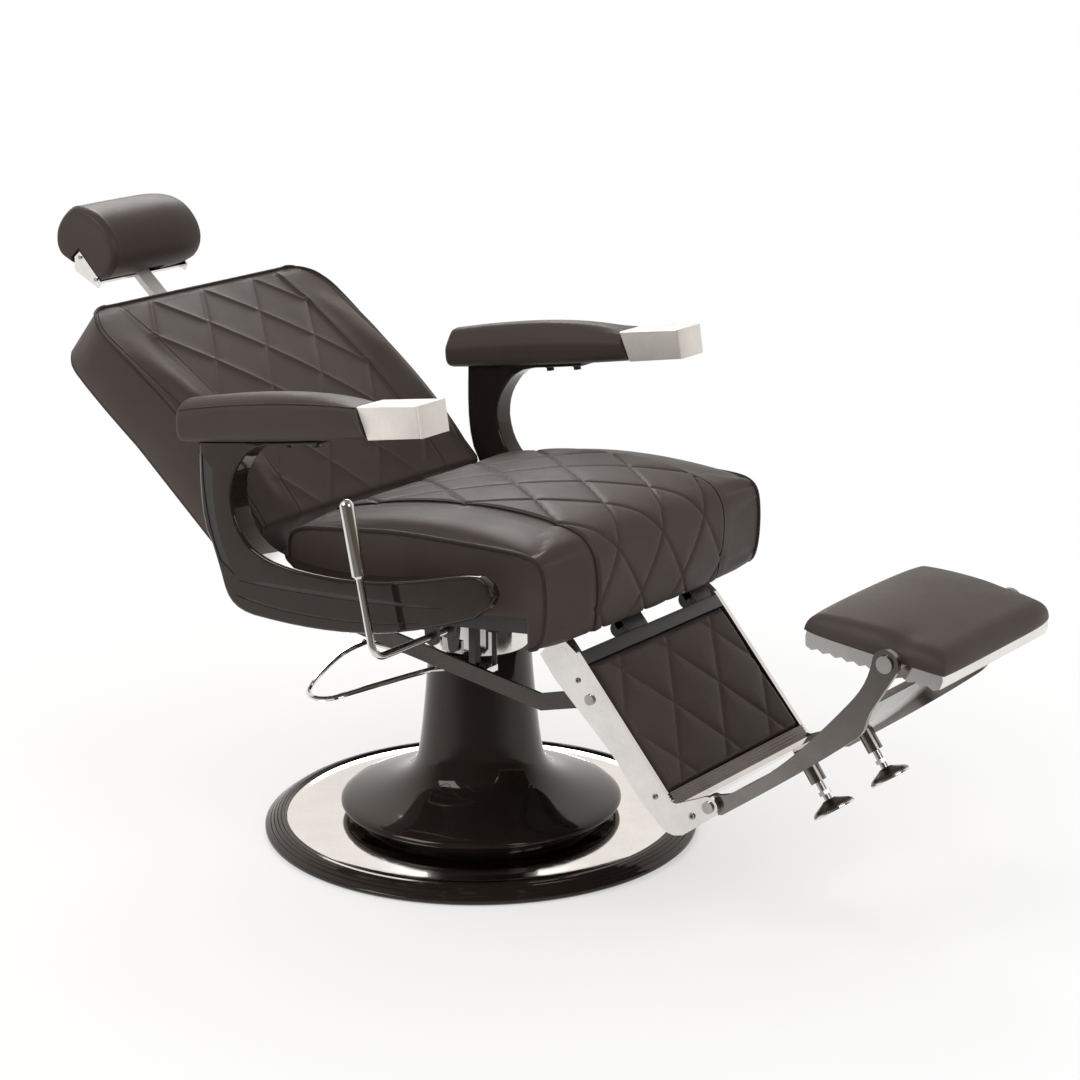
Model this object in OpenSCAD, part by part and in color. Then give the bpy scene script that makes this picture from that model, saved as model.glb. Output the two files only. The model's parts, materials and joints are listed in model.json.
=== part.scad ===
// Hydraulic reclining barber chair. Millimetres.
// +X is the way the sitter faces, +Y the sitter's left, +Z up; the origin is on the floor under the column.

/* [Shown part] */
// Node to draw, or all

/* [Base and column] */
// Outer radius of the round foot
base_r = 340; // [335:1:345]
// Width of the black rim
rim_w = 34; // [32:1:40]
// Height of the top of the rim
rim_h = 23; // [20:1:25]
// Radius of the trumpet cover at its lip
bell_r = 221; // [210:1:225]
// Radius of the trumpet cover at its neck
neck_r = 80; // [79.5:0.5:84]
// Height of the neck's top
neck_z = 297; // [285:1:300]
// Outer radius of the chrome sleeve
sleeve_r = 76.5; // [74:0.5:76.5]
// Wall of the sleeve
sleeve_t = 3; // [2:0.5:5]
// Outer radius of the pump cylinder
pump_r = 45; // [42:1:50]
// Radius of the ram
ram_r = 25; // [22:1:26]
// Radius of the piston
piston_r = 30; // [29:0.5:32]
// Top of the sleeve
sleeve_top = 376; // [374:1:378]
// Running clearance on a radius
run = 0.05; // [0.02:0.01:0.08]

/* [Seat] */
// Half width of the seat cushion
seat_hw = 274; // [268:1:280]
// Overhang of the seat cushion over the base frame's side
frame_in = 9; // [8:1:14]
// Depth of the frame's rails
frame_t = 21; // [19:1:21]
// Front end of the frame
frame_front = 295; // [290:1:296]
// Rear end of the frame
frame_rear = -144; // [-146:1:-138]
// Slope of the seat base, degrees
seat_slope = 6; // [5.8:0.1:6.1]
// Height of the puff of the seat's quilting
seat_puff = 7; // [4:0.5:9]
// Width of one quilted diamond
quilt_w = 117; // [110:1:122]
// Length of one quilted diamond
quilt_l = 156; // [148:1:164]

/* [Arms] */
// Gap between the seat cushion and an arm casting
arm_gap = 26; // [24:1:28]
// Thickness of an arm casting
arm_t = 40; // [36:1:42]
// Rounding of the arm's edges
arm_edge = 5; // [3:0.5:6]
// Centre of an armrest pad outwards of its casting's inner face
pad_out = 18; // [16:1:20]
// Half width of an armrest pad
pad_hw = 30; // [28:0.5:31]
// Crown of an armrest pad
pad_crown = 13; // [8:1:15]

/* [Back] */
// Back hinge, forward position
back_x = -215; // [-216:1:-214]
// Back hinge, height
back_z = 420; // [419:1:421]
// Slope of the back above level, degrees
back_angle = 40; // [39:0.5:41]
// Thickness of the back board
board_t = 18; // [15:1:20]
// Rear face of the back board behind the hinge line
board_rear = -34; // [-35:1:-33]
// Half width of the back
back_hw = 266; // [258:1:270]
// Height of the puff of the back's quilting
back_puff = 7; // [4:0.5:9]
// Radius of the hinge pins
pin_r = 8; // [7:0.5:9]

/* [Headrest] */
// Width of the headrest bar
bar_w = 30; // [28:1:34]
// Thickness of the headrest bar
bar_t = 10; // [8:1:10]
// Half length of the headrest roll
roll_hw = 110; // [105:1:116]

/* [Legrest] */
// Legrest hinge, forward position
leg_x = 296; // [295:1:297]
// Legrest hinge, height
leg_z = 385; // [384:1:386]
// Slope of the legrest below level, degrees
leg_angle = 48.5; // [48:0.5:49]
// Inner face of a legrest side plate
plate_in = 176; // [176:0.5:177]
// Thickness of a legrest side plate
plate_t = 8; // [6:0.5:8]
// Half width of the legrest cushion
leg_hw = 171; // [165:1:174]

/* [Footrest] */
// Outer face of a footrest arm
swing_out = 175.5; // [174:0.5:175.5]
// Thickness of a footrest arm
swing_t = 8; // [6:0.5:8]
// Half width of the footrest tray
tray_hw = 150; // [146:1:152]
// Length of the footrest tray
tray_l = 208; // [204:1:210]
// Depth of the footrest tray
tray_h = 27.5; // [25:0.5:28]
// Slope of the footrest tray, degrees
tray_slope = 5.6; // [5:0.1:6]
// Distance of a levelling foot from the centre
foot_y = 78; // [70:1:90]
// Radius of a levelling foot's stem
stem_r = 5.5; // [5:0.5:6]
// Radius of a levelling foot's glide
glide_r = 31; // [28:1:32]

/* [Levers] */
// Radius of the hand lever's rod
lever_r = 5.5; // [5:0.25:6]
// Radius of the hand lever's grip
grip_r = 10.5; // [9:0.5:12]
// Distance of the grip outwards of an arm's inner face
grip_out = 75; // [70:1:80]
// Length of the release crank
crank_l = 30; // [28:1:31]
// Radius of the pump pedal's wire
wire_r = 4.25; // [4:0.25:4.5]

/* [Hidden] */
$fn = 48;
rim_in_r = base_r - rim_w;
arm_in = seat_hw + arm_gap;
pad_y = arm_in + pad_out;
frame_hw = seat_hw - frame_in;
grip_y = arm_in + grip_out;
lug_y = frame_hw - 25;
crank_y = frame_hw - 74;
bx = [sin(back_angle), 0, cos(back_angle)];
bs = [-cos(back_angle), 0, sin(back_angle)];
lb = [sin(leg_angle), 0, cos(leg_angle)];
ld = [cos(leg_angle), 0, -sin(leg_angle)];
link_dx = 48;
link_dz = -61;
fold_a = 300.3;
fold_b = 70.8;
fold_x = leg_x + fold_a * ld.x + fold_b * lb.x;
fold_z = leg_z + fold_a * ld.z + fold_b * lb.z;
tray_px = 817.4;
tray_pz = 468.9;
lever_x = 104;
lever_z = 388.5;
pedal_y = -95;
pedal_z = 292;
frame_x0 = 300;
frame_z0 = 434.5;

// ---- points and curves ----
function bez(a, b, c, d, n) = [for (i = [0 : n - 1]) let (t = i / n, u = 1 - t)
  a * u * u * u + b * 3 * u * u * t + c * 3 * u * t * t + d * t * t * t];
function arcp(c, r, a0, a1, n) = [for (i = [0 : n]) c + r * [cos(a0 + (a1 - a0) * i / n), sin(a0 + (a1 - a0) * i / n)]];
function inset(p, e) = let (n = len(p)) [for (i = [0 : n - 1])
  let (t = p[(i + 1) % n] - p[(i + n - 1) % n]) p[i] + e * [-t.y, t.x] / norm(t)];
function back_pt(n, y, s) = [back_x, 0, back_z] + n * bx + s * bs + [0, y, 0];
function leg_pt(b, y, a) = [leg_x, 0, leg_z] + b * lb + a * ld + [0, y, 0];
function clamp01(v) = v < 0 ? 0 : v > 1 ? 1 : v;
// 0 on a quilting line, 1 in the middle of a diamond
function tri(v) = abs(v - round(v)) * 2;
function quilt(u, y, u0) = let (p = (u - u0) / quilt_l, q = y / quilt_w) sqrt(sqrt(tri(p - q) * tri(p + q)));

// ---- building blocks ----
// Skin over a stack of rings of equal length, each counter-clockwise seen from the last ring's side
module loft(r) {
  n = len(r[0]);
  m = len(r);
  pts = [for (ring = r) each ring];
  sides = [for (j = [0 : m - 2]) for (i = [0 : n - 1]) let (k = (i + 1) % n)
    each [[j * n + i, (j + 1) * n + i, (j + 1) * n + k], [j * n + i, (j + 1) * n + k, j * n + k]]];
  first = [[for (i = [0 : n - 1]) i]];
  last = [[for (i = [n - 1 : -1 : 0]) (m - 1) * n + i]];
  polyhedron(pts, concat(first, sides, last));
}
// Side-view outline made into a slab between two widths, with rounded edges
module soft_slab(p, y0, y1, e) {
  steps = 2;
  loft(concat(
    [for (k = [0 : steps]) let (a = 90 * k / steps, q = inset(p, e * (1 - sin(a)))) [for (v = q) [v.x, y1 - e * (1 - cos(a)), v.y]]],
    [for (k = [steps : -1 : 0]) let (a = 90 * k / steps, q = inset(p, e * (1 - sin(a)))) [for (v = q) [v.x, y0 + e * (1 - cos(a)), v.y]]]));
}
// Side-view outline made into a plain plate
module side(y0, y1) {
  translate([0, y1, 0]) rotate([90, 0, 0]) linear_extrude(y1 - y0) children();
}
module in_back() { translate([back_x, 0, back_z]) rotate([0, back_angle - 90, 0]) children(); }
module in_leg() { translate([leg_x, 0, leg_z]) rotate([0, leg_angle - 90, 0]) children(); }
module in_frame() { translate([frame_x0, 0, frame_z0]) rotate([0, -seat_slope, 0]) children(); }
module in_tray() { translate([tray_px, 0, tray_pz]) rotate([0, tray_slope, 0]) children(); }
module both() { children(); mirror([0, 1, 0]) children(); }
// Cylinder along Y
module ycyl(x, z, r, y0, y1) { translate([x, y1, z]) rotate([90, 0, 0]) cylinder(r = r, h = y1 - y0); }
module rod(a, b, r) {
  d = b - a;
  translate(a) rotate([0, acos(d.z / norm(d)), atan2(d.y, d.x)]) cylinder(r = r, h = norm(d));
}

// ---- base ----
module base_disc() {
  ridges = 5;
  step = (base_r - 4 - rim_in_r - 3) / ridges;
  color([0.06, 0.055, 0.05]) rotate_extrude($fn = 96) polygon(concat(
    [[0, 0], [base_r - 3, 0], [base_r, 3], [base_r, 7], [base_r - 2, 9]],
    [for (i = [0 : ridges - 1]) each [
      [base_r - 4 - i * step, 9 + (rim_h - 9) * sin(90 * (i + 0.2) / ridges)],
      [base_r - 4 - (i + 0.75) * step, 9 + (rim_h - 9) * sin(90 * (i + 0.9) / ridges)],
      [base_r - 4 - (i + 0.85) * step, 8 + (rim_h - 9) * sin(90 * (i + 0.9) / ridges)]]],
    [[rim_in_r + 1, rim_h], [rim_in_r, rim_h - 1], [rim_in_r, 14], [0, 14]]));
}
module base_mirror() {
  r = rim_in_r - 0.5;
  color([0.8, 0.8, 0.8]) rotate_extrude($fn = 96)
    polygon([[pump_r + 20, 14], [r, 14], [r, 19.5], [r - 3, 19.5], [r - 8, 17.5], [250, 19.5], [216, 21.5], [pump_r + 20, 21.5]]);
}
module trumpet_cover() {
  t = 2.5;
  outer = concat([[bell_r - 11, 21.5], [bell_r - 4, 25], [bell_r - 0.6, 32], [bell_r, 42]],
    bez([bell_r - 6, 54], [bell_r - 25, 84], [bell_r - 62, 104], [bell_r - 84, 112], 8),
    bez([137, 112], [118, 121], [100, 122], [97, 134], 5),
    bez([95, 136], [89, 160], [neck_r + 3, 225], [neck_r, 271], 8),
    [[neck_r, neck_z - 2], [neck_r - 0.8, neck_z]]);
  inner = [for (i = [len(outer) - 3 : -1 : 3]) outer[i] - [t, i < 12 ? 1.6 : 0.4]];
  color([0.06, 0.055, 0.05]) rotate_extrude($fn = 96)
    polygon(concat(outer, [[neck_r - t, neck_z]], inner, [[bell_r - 11 - t, 30], [bell_r - 11 - t, 21.5]]));
}
module pump_cylinder() {
  color([0.4, 0.4, 0.4]) difference() {
    union() {
      translate([0, 0, 14]) cylinder(r = pump_r, h = 220);
      translate([0, 0, 14]) cylinder(r = pump_r + 19, h = 7.5);
    }
    translate([0, 0, 26]) cylinder(r = piston_r + run, h = 210);
  }
}
module pump_gland() {
  color([0.5, 0.5, 0.5]) translate([0, 0, 234]) difference() {
    cylinder(r = pump_r, h = 22);
    translate([0, 0, -1]) cylinder(r = ram_r + run, h = 24);
  }
}

// ---- lifting column ----
module lift_ram() {
  color([0.75, 0.75, 0.75]) union() {
    translate([0, 0, 34]) cylinder(r = piston_r, h = 30);
    translate([0, 0, 50]) cylinder(r = ram_r, h = 352);
  }
}
module column_sleeve() {
  color([0.8, 0.8, 0.8]) difference() {
    translate([0, 0, 135]) cylinder(r = sleeve_r, h = sleeve_top - 135, $fn = 96);
    translate([0, 0, 134]) cylinder(r = sleeve_r - sleeve_t, h = sleeve_top - 133, $fn = 96);
  }
}
module column_head() {
  color([0.1, 0.1, 0.1]) difference() {
    translate([0, 0, sleeve_top - 14]) cylinder(r = sleeve_r - sleeve_t, h = 14);
    translate([0, 0, sleeve_top - 15]) cylinder(r = ram_r, h = 16);
  }
}

// ---- seat body ----
module swivel_hub() {
  color([0.1, 0.095, 0.09]) difference() {
    union() {
      translate([0, 0, sleeve_top + 1]) cylinder(r = 66, h = 16);
      difference() {
        translate([-120, -130, sleeve_top + 8]) cube([240, 260, 40]);
        in_frame() translate([-700, -300, 0]) cube([900, 600, 80]);
      }
    }
    translate([0, 0, sleeve_top]) cylinder(r = ram_r + run, h = 60);
  }
}
module seat_frame() {
  lf = frame_front - frame_x0;
  ll = frame_front - frame_rear;
  w = 38;
  color([0.1, 0.095, 0.09]) difference() {
    union() {
      in_frame() difference() {
        translate([lf - ll, -frame_hw, 0]) cube([ll, 2 * frame_hw, frame_t]);
        both() translate([lf - ll + w, 134, -1]) cube([ll - 2 * w, 42, frame_t + 2]);
        translate([lf - 130, -96, -1]) cube([130 - w, 192, frame_t + 2]);
      }
      both() side(186, 194) polygon(concat([[-60, 397], [-150, 405], [-160, 430]],
        arcp([back_x, back_z], 22, 60, 250, 10), [[-175, 378], [-130, 381], [-60, 388]]));
      both() side(186, 194) polygon(concat([[leg_x - 6, 440], [leg_x - 52, 434], [leg_x - 52, 428]],
        arcp([leg_x, leg_z], 15, 160, 380, 10), [[leg_x + 5, leg_z + 19], [leg_x - 6, 428]]));
      for (y = [-lug_y + 40, -lug_y]) side(y - 7, y) polygon([[lever_x - 13, 416], [lever_x - 11, lever_z - 8],
        [lever_x - 6, lever_z - 12], [lever_x + 6, lever_z - 12], [lever_x + 11, lever_z - 8], [lever_x + 13, 418]]);
    }
    ycyl(back_x, back_z, pin_r, -200, 200);
    ycyl(leg_x, leg_z, pin_r, -200, 200);
    ycyl(lever_x, lever_z, lever_r + run, -lug_y - 20, -crank_y + 1);
    translate([0, 0, sleeve_top]) cylinder(r = ram_r + 6, h = 80);
  }
}
module seat_panel(gap) {
  in_frame() translate([frame_rear + 14 - frame_x0 - gap, -frame_hw + 14 - gap, frame_t])
    cube([frame_front - frame_rear - 28 + 2 * gap, 2 * frame_hw - 28 + 2 * gap, 10 + gap]);
}
module seat_board() { color([0.55, 0.42, 0.28]) seat_panel(0); }
function seat_top(x, y) = let (
    e = clamp01((abs(y) - 176) / (seat_hw - 176)),
    edge = 548.5 - 0.00022 * pow(x - 290, 2) * (x < 290 ? 1 : 2),
    seam = x < 165 ? 582 - 0.00058 * pow(x - 165, 2) : 582 - 0.00074 * pow(x - 165, 2),
    c = clamp01(1 - pow(y / 176, 2)) * clamp01((x - 20) / 160),
    q = e > 0 ? 0 : seat_puff * quilt(x, y, 199))
  e > 0 ? edge + (seam - edge) * sqrt(1 - e * e) : seam + 6 * c + q;
function seat_front(z, y) = let (
    e = clamp01((abs(y) - 176) / (seat_hw - 176)),
    side_x = 321 - 0.0011 * pow(z - 500, 2),
    mid_x = 345 - 0.0022 * pow(z - 490, 2),
    c = clamp01(1 - pow(y / 176, 2)),
    q = e > 0 ? 0 : 0.8 * seat_puff * quilt(893 - z, y, 199))
  e > 0 ? side_x + (mid_x - side_x) * sqrt(1 - e * e) : mid_x + 3 * c + q;
module seat_cushion() {
  ys = concat([seat_hw, seat_hw - 1, seat_hw - 8, seat_hw - 20, seat_hw - 38, seat_hw - 62], [for (i = [9 : -1 : -9]) i * 19.5 + 0],
    [-seat_hw + 62, -seat_hw + 38, -seat_hw + 20, -seat_hw + 8, -seat_hw + 1, -seat_hw]);
  color([0.29, 0.25, 0.24]) difference() {
    loft([for (j = [0 : len(ys) - 1]) let (y = ys[j], q = seat_ring(y),
        e = (j == 0 || j == len(ys) - 1) ? 3 : 0) [for (v = inset(q, e)) [v.x, y, v.y]]]);
    translate([0, 0, -0.1]) seat_panel(0.3);
  }
}
// The same number of points at every width
function seat_ring(y) = let (
    bot = function(x) frame_z0 - tan(seat_slope) * (frame_x0 - x) + frame_t / cos(seat_slope) + 0.1,
    tz = seat_top(286, y),
    fr = seat_front(tz - 42, y),
    t0 = seat_top(-112, y))
  concat(
    [[-134, bot(-134)], [100, bot(100)], [296, bot(296)], [297.5, 418]],
    [[seat_front(418, y) - 12, 415], [seat_front(424, y), 422]],
    [for (i = [1 : 4]) let (z = 422 + i * (tz - 42 - 422) / 5) [seat_front(z, y), z]],
    [for (i = [0 : 4]) let (a = i * 20) [fr - 50 + 50 * cos(a), tz - 42 + 42 * sin(a)]],
    [for (i = [0 : 14]) let (x = 277 - 26 * i) [x, seat_top(x, y)]],
    [[-110, t0], [-126, t0 - 6], [-139, t0 - 20], [-143, (t0 + bot(-134)) / 2], [-140, bot(-134) + 10]]);

// ---- arms ----
// Underside of an armrest pad, and of the arm's thin tongue below it
function pad_low(x) = 645 + 0.137 * (x + 258) + 0.00007 * pow(x + 258, 2);
function tongue_low(x) = pad_low(x) - 5;
arm_outer = concat(
  [for (x = [-25, -75, -130, -180, -225]) [x, pad_low(x) - 0.1]],
  bez([-258, 644.8], [-260, 600], [-263, 520], [-238, 490], 6),
  bez([-238, 490], [-230, 470], [-222, 448], [-216, 428], 4),
  bez([-216, 428], [-208, 405], [-190, 397], [-160, 394.5], 5),
  bez([-160, 394.5], [-60, 391], [50, 398], [150, 430], 9),
  bez([150, 430], [210, 449], [262, 466], [286, 484], 7), [[286, 484], [293, 491.5], [297.5, 503]]);
arm_inner = concat(
  [for (x = [-25, -70, -118]) [x, tongue_low(x)]], [[-142, 654], [-158, 645]],
  bez([-169, 636], [-188, 614], [-198, 596], [-197.5, 567], 6),
  bez([-197.5, 567], [-195, 545], [-188, 528], [-176, 514], 4),
  bez([-176, 514], [-164, 500], [-145, 490.5], [-118, 485.3], 5),
  bez([-118, 485.3], [-60, 475], [50, 480], [125, 499], 9),
  bez([125, 499], [190, 512], [225, 527], [262, 530], 7), [[262, 530], [276, 528.5], [289, 521]]);
module arm_cuts(y0, y1) {
  side(y0, y1) polygon(concat(
    bez([-252, 628], [-253, 560], [-244, 510], [-212, 448], 8), [[-194, 452]],
    bez([-208, 475], [-232, 520], [-236, 575], [-230, 628], 8)));
  side(y0, y1) polygon(concat(
    bez([-188, 444], [-100, 444], [20, 450], [205, 470], 8),
    bez([207, 473], [100, 466], [-60, 455], [-188, 448], 8)));
  side(y0, y1) polygon(concat(
    bez([-195, 421], [-130, 408], [0, 410], [160, 440], 8),
    bez([160, 443.5], [20, 415], [-120, 412], [-193, 425], 8)));
}
module arm() {
  color([0.07, 0.06, 0.055]) difference() {
    loft([for (i = [0 : len(arm_outer) - 1]) let (a = arm_outer[i], b = arm_inner[i], e = min(arm_edge, norm(b - a) / 3), u = (b - a) / norm(b - a))
      [for (v = [[a + u * e, arm_in], [b - u * e, arm_in], [b - u * e * 0.3, arm_in + e * 0.3], [b, arm_in + e],
          [b, arm_in + arm_t - e], [b - u * e * 0.3, arm_in + arm_t - e * 0.3], [b - u * e, arm_in + arm_t],
          [a + u * e, arm_in + arm_t], [a + u * e * 0.3, arm_in + arm_t - e * 0.3], [a, arm_in + arm_t - e],
          [a, arm_in + e], [a + u * e * 0.3, arm_in + e * 0.3]]) [v[0].x, v[1], v[0].y]]]);
    arm_cuts(arm_in + arm_t - 1.5, arm_in + arm_t + 1);
  }
}
module arm_left() { arm(); }
module arm_right() { mirror([0, 1, 0]) arm(); }
module arm_spacers() {
  color([0.1, 0.1, 0.1]) both() for (x = [-100, 90])
    ycyl(x, frame_z0 - tan(seat_slope) * (frame_x0 - x) + frame_t / 2, 8, frame_hw, arm_in);
}
module arm_bolts() {
  color([0.5, 0.5, 0.5]) both() for (x = [-100, -46])
    translate([x, pad_y, tongue_low(x) - 0.3]) rotate([0, -9, 0]) union() {
      translate([0, 0, -2]) cylinder(r = 8, h = 2);
      translate([0, 0, -7]) cylinder(r = 6.5, h = 5.5, $fn = 6);
    }
}
function pad_ring(t) = let (
    x0 = -285 + 360.5 * t,
    lo = [x0, pad_low(x0)],
    up = [-286, 692] * pow(1 - t, 3) + [-190, 714] * 3 * pow(1 - t, 2) * t + [-60, 737] * 3 * (1 - t) * t * t + [57.8, 742.5] * pow(t, 3),
    w = pad_hw,
    c = pad_crown * (1 - pow(t, 5)))
  [for (v = [[-w + 3, 0], [-w, 0.12], [-w - 0.5, 0.55], [-w, 1], [-w * 0.72, 1 + 0.55 * c / 52], [-w * 0.35, 1 + 0.92 * c / 52],
      [0, 1 + c / 52], [w * 0.35, 1 + 0.92 * c / 52], [w * 0.72, 1 + 0.55 * c / 52], [w, 1], [w + 0.5, 0.55], [w, 0.12], [w - 3, 0]])
    let (p = lo + (up - lo) * v.y) [p.x, v.x, p.y]];
module armpad() {
  n = 12;
  end = function(k) [for (v = pad_ring(0))
    [v.x - 14 * sin(k * 90), v.y * (0.72 + 0.28 * cos(k * 90)), 668 + (v.z - 668) * (0.62 + 0.38 * cos(k * 90))]];
  color([0.29, 0.25, 0.24]) translate([0, pad_y, 0])
    loft(concat([end(1), end(0.7), end(0.4)], [for (i = [0 : n]) pad_ring(i / n)]));
}
module armpad_left() { armpad(); }
module armpad_right() { mirror([0, 1, 0]) armpad(); }
module armcap() {
  color([0.85, 0.84, 0.82]) soft_slab([[77.2, 698], [172.8, 714.8], [165.8, 760.4], [120, 753.6], [57.4, 743.8]], pad_y - 29.5, pad_y + 30, 2.5);
}
module armcap_left() { armcap(); }
module armcap_right() { mirror([0, 1, 0]) armcap(); }
module cap_faces() {
  color([0.85, 0.84, 0.82]) both() soft_slab([[173, 715], [176.8, 715.6], [169.8, 761.2], [166, 760.6]], pad_y - 30, pad_y + 30.5, 0.8);
}

// ---- hinges, hanger and pump block fixed to the seat ----
module back_hinge_pins() {
  color([0.6, 0.6, 0.6]) both() union() {
    ycyl(back_x, back_z, pin_r, 174, 199);
    ycyl(back_x, back_z, pin_r + 5, 194, 199);
  }
}
module leg_hinge_pin() {
  color([0.6, 0.6, 0.6]) ycyl(leg_x, leg_z, pin_r, -198, 198);
}
module pedal_hanger() {
  color([0.08, 0.08, 0.08]) difference() {
    union() {
      translate([58, -101, pedal_z]) cube([12, 13, sleeve_top + 8 - pedal_z]);
      translate([52, pedal_y, pedal_z]) rotate([0, 90, 0]) cylinder(r = 9, h = 24);
      translate([50, -125, sleeve_top + 3]) cube([28, 40, 5]);
    }
    translate([40, pedal_y, pedal_z]) rotate([0, 90, 0]) cylinder(r = wire_r + run, h = 50);
  }
}
module pump_block() {
  color([0.3, 0.3, 0.3]) difference() {
    translate([86, -74, 350]) cylinder(r = 11, h = sleeve_top + 8 - 350);
    translate([86, -74, 345]) cylinder(r = 4 + run, h = 50);
  }
}

// ---- back body ----
function back_w(s) = s < 305 ? back_hw - 7 : s < 440 ? back_hw - 7 + 8 * sin((s - 305) / 135 * 90)
  : back_hw + 1 - 26 * pow((s - 440) / 60, 2.4);
function back_edge(s) = s < 128 ? 69 + (s - 40) * 0.06 : s < 305 ? 74 + sin((s - 128) / 177 * 180) * 2
  : s < 475 ? 74 - 13 * pow((s - 305) / 170, 1.5) : 61 - 8 * pow((s - 475) / 33, 2);
function back_seam(s) = s < 212 ? 89.5 - 14 * pow((212 - s) / 172, 1.6) : 89.5 - 33 * pow((s - 212) / 286, 1.75);
module back_panel(gap, rear) {
  n = 14;
  right = [for (i = [0 : n]) let (s = 52 + (483 - 52) * i / n) [back_w(s) - 14 + gap, s]];
  left = [for (v = [n : -1 : 0]) [-right[v].x, right[v].y]];
  in_back() translate([board_rear - rear, 0, 0]) rotate([90, 0, 90]) linear_extrude(board_t + gap + rear)
    polygon([for (v = concat(right, left)) [v.x, v.y + (v.y < 60 ? -gap : v.y > 470 ? gap : 0)]]);
}
// Room for the headrest's guide, t deep from the bar's middle
module guide_slot(t) {
  in_back() translate([board_rear - 1, -bar_w / 2 - 5.2, 249.8]) cube([head_n - board_rear + 1 + t, bar_w + 10.4, 300]);
}
module back_board() {
  color([0.1, 0.09, 0.085]) difference() {
    back_panel(0, 0);
    guide_slot(12.2);
  }
}
function back_front(y, s) = let (w = back_w(s), e = clamp01((abs(y) - 176) / (w - 176)), c = clamp01(1 - pow(y / 176, 2)))
  e > 0 ? back_edge(s) + (back_seam(s) - back_edge(s)) * sqrt(1 - e * e)
  : back_seam(s) + 5 * c * sin(clamp01((s - 40) / 465) * 180) + back_puff * quilt(s, y, 351) * clamp01((508 - s) / 40);
function back_ring(s, k) = let (w = back_w(s), r0 = board_rear)
  concat(
    [for (y = [-w + 5, -w + 1, -w]) [y == -w ? r0 + 0.75 * (back_edge(s) - r0) * k : y == -w + 1 ? r0 + 0.3 * (back_edge(s) - r0) * k : r0, y]],
    [for (f = [0 : 3]) let (y = -176 - (w - 176) * cos(f * 22.5)) [r0 + (back_front(y, s) - r0) * k, y]],
    [for (i = [-9 : 9]) let (y = i * 19.5) [r0 + (back_front(y, s) - r0) * k, y]],
    [for (f = [3 : -1 : 0]) let (y = 176 + (w - 176) * cos(f * 22.5)) [r0 + (back_front(y, s) - r0) * k, y]],
    [[r0 + 0.75 * (back_edge(s) - r0) * k, w], [r0 + 0.3 * (back_edge(s) - r0) * k, w - 1], [r0, w - 5]]);
module back_cushion() {
  ss = concat([[40, 0.55], [43, 0.85], [52, 0.97]], [for (i = [0 : 15]) [65 + 26 * i, 1]],
    [[478, 0.99], [494, 0.94], [503, 0.84], [507.5, 0.66]]);
  color([0.29, 0.25, 0.24]) difference() {
    loft([for (v = ss) [for (p = back_ring(v.x, v.y)) back_pt(p.x, p.y, v.x)]]);
    back_panel(0.2, 1);
    guide_slot(12.2);
  }
}
module strap_bare() {
  in_back() union() {
    side(177, 184) polygon(concat(arcp([0, 0], 20, -180, 0, 12), [[20, 33], [board_rear - 6, 39.5], [board_rear - 6, 8]]));
    translate([board_rear - 6, 150, 8]) cube([6, 34, 172]);
  }
}
module back_straps() {
  color([0.15, 0.14, 0.14]) difference() {
    union() {
      both() strap_bare();
      side(-184, -177) polygon(concat(
        [[back_x - 12, back_z - 8], [back_x + link_dx - 14, back_z + link_dz - 4]],
        arcp([back_x + link_dx, back_z + link_dz], 14, 200, 380, 8), [[back_x + 16, back_z + 2]]));
    }
    ycyl(back_x, back_z, pin_r + run, -200, 200);
    ycyl(back_x + link_dx, back_z + link_dz, pin_r, -200, -150);
  }
}
module lock_sector() {
  color([0.35, 0.35, 0.35]) side(-150, -142) union() {
    polygon(concat([[back_x, back_z]], arcp([back_x, back_z], 60, -150, -12, 30)));
    translate([back_x, back_z]) rotate(90 - back_angle) polygon([[-14, 14], [-16, 34], [board_rear, 40], [board_rear, 180],
      [board_rear - 6, 180], [board_rear - 6, -12], [-14, -14], [14, 0]]);
  }
}
module head_guide() {
  hw = bar_w / 2;
  color([0.2, 0.2, 0.2]) in_back() difference() {
    translate([board_rear, -hw - 5, 250]) cube([head_n + 12 - board_rear, bar_w + 10, 254]);
    translate([bar_n - run, -hw - run, 240]) cube([bar_t + 2 * run, bar_w + 2 * run, 300]);
  }
}
module link_pin() {
  color([0.6, 0.6, 0.6]) union() {
    ycyl(back_x + link_dx, back_z + link_dz, pin_r, -184, -166);
    ycyl(back_x + link_dx, back_z + link_dz, pin_r + 3, -169, -164);
  }
}

// ---- headrest ----
head_n = -23;
head_s = 638;
bar_n = head_n - bar_t / 2;
head_px = back_x + head_n * bx.x + head_s * bs.x;
head_pz = back_z + head_n * bx.z + head_s * bs.z;
module head_bar() {
  hw = bar_w / 2;
  color([0.85, 0.84, 0.82]) in_back() difference() {
    union() {
      translate([bar_n, -hw, 320]) cube([bar_t, bar_w, head_s - 320]);
      ycyl(head_n, head_s, 11, -hw, hw);
    }
    ycyl(head_n, head_s, 5 + run, -hw - 1, hw + 1);
  }
}
module head_hinge_pin() {
  color([0.6, 0.6, 0.6]) ycyl(head_px, head_pz, 5, -bar_w / 2 - 8, bar_w / 2 + 8);
}
head_line = concat(
  bez([-738, 913], [-757, 912], [-782, 892], [-782, 864], 5),
  bez([-782, 864], [-782, 848], [-774, 832], [-758, 829], 4),
  bez([-758, 829], [-738, 820], [-716, 808], [-697, 800], 4),
  bez([-697, 800], [-676, 794], [-654, 808], [-651, 838], 5),
  bez([-651, 838], [-649, 866], [-664, 888], [-688, 902], 5),
  bez([-688, 902], [-704, 910], [-720, 913], [-738, 913], 4));
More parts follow.
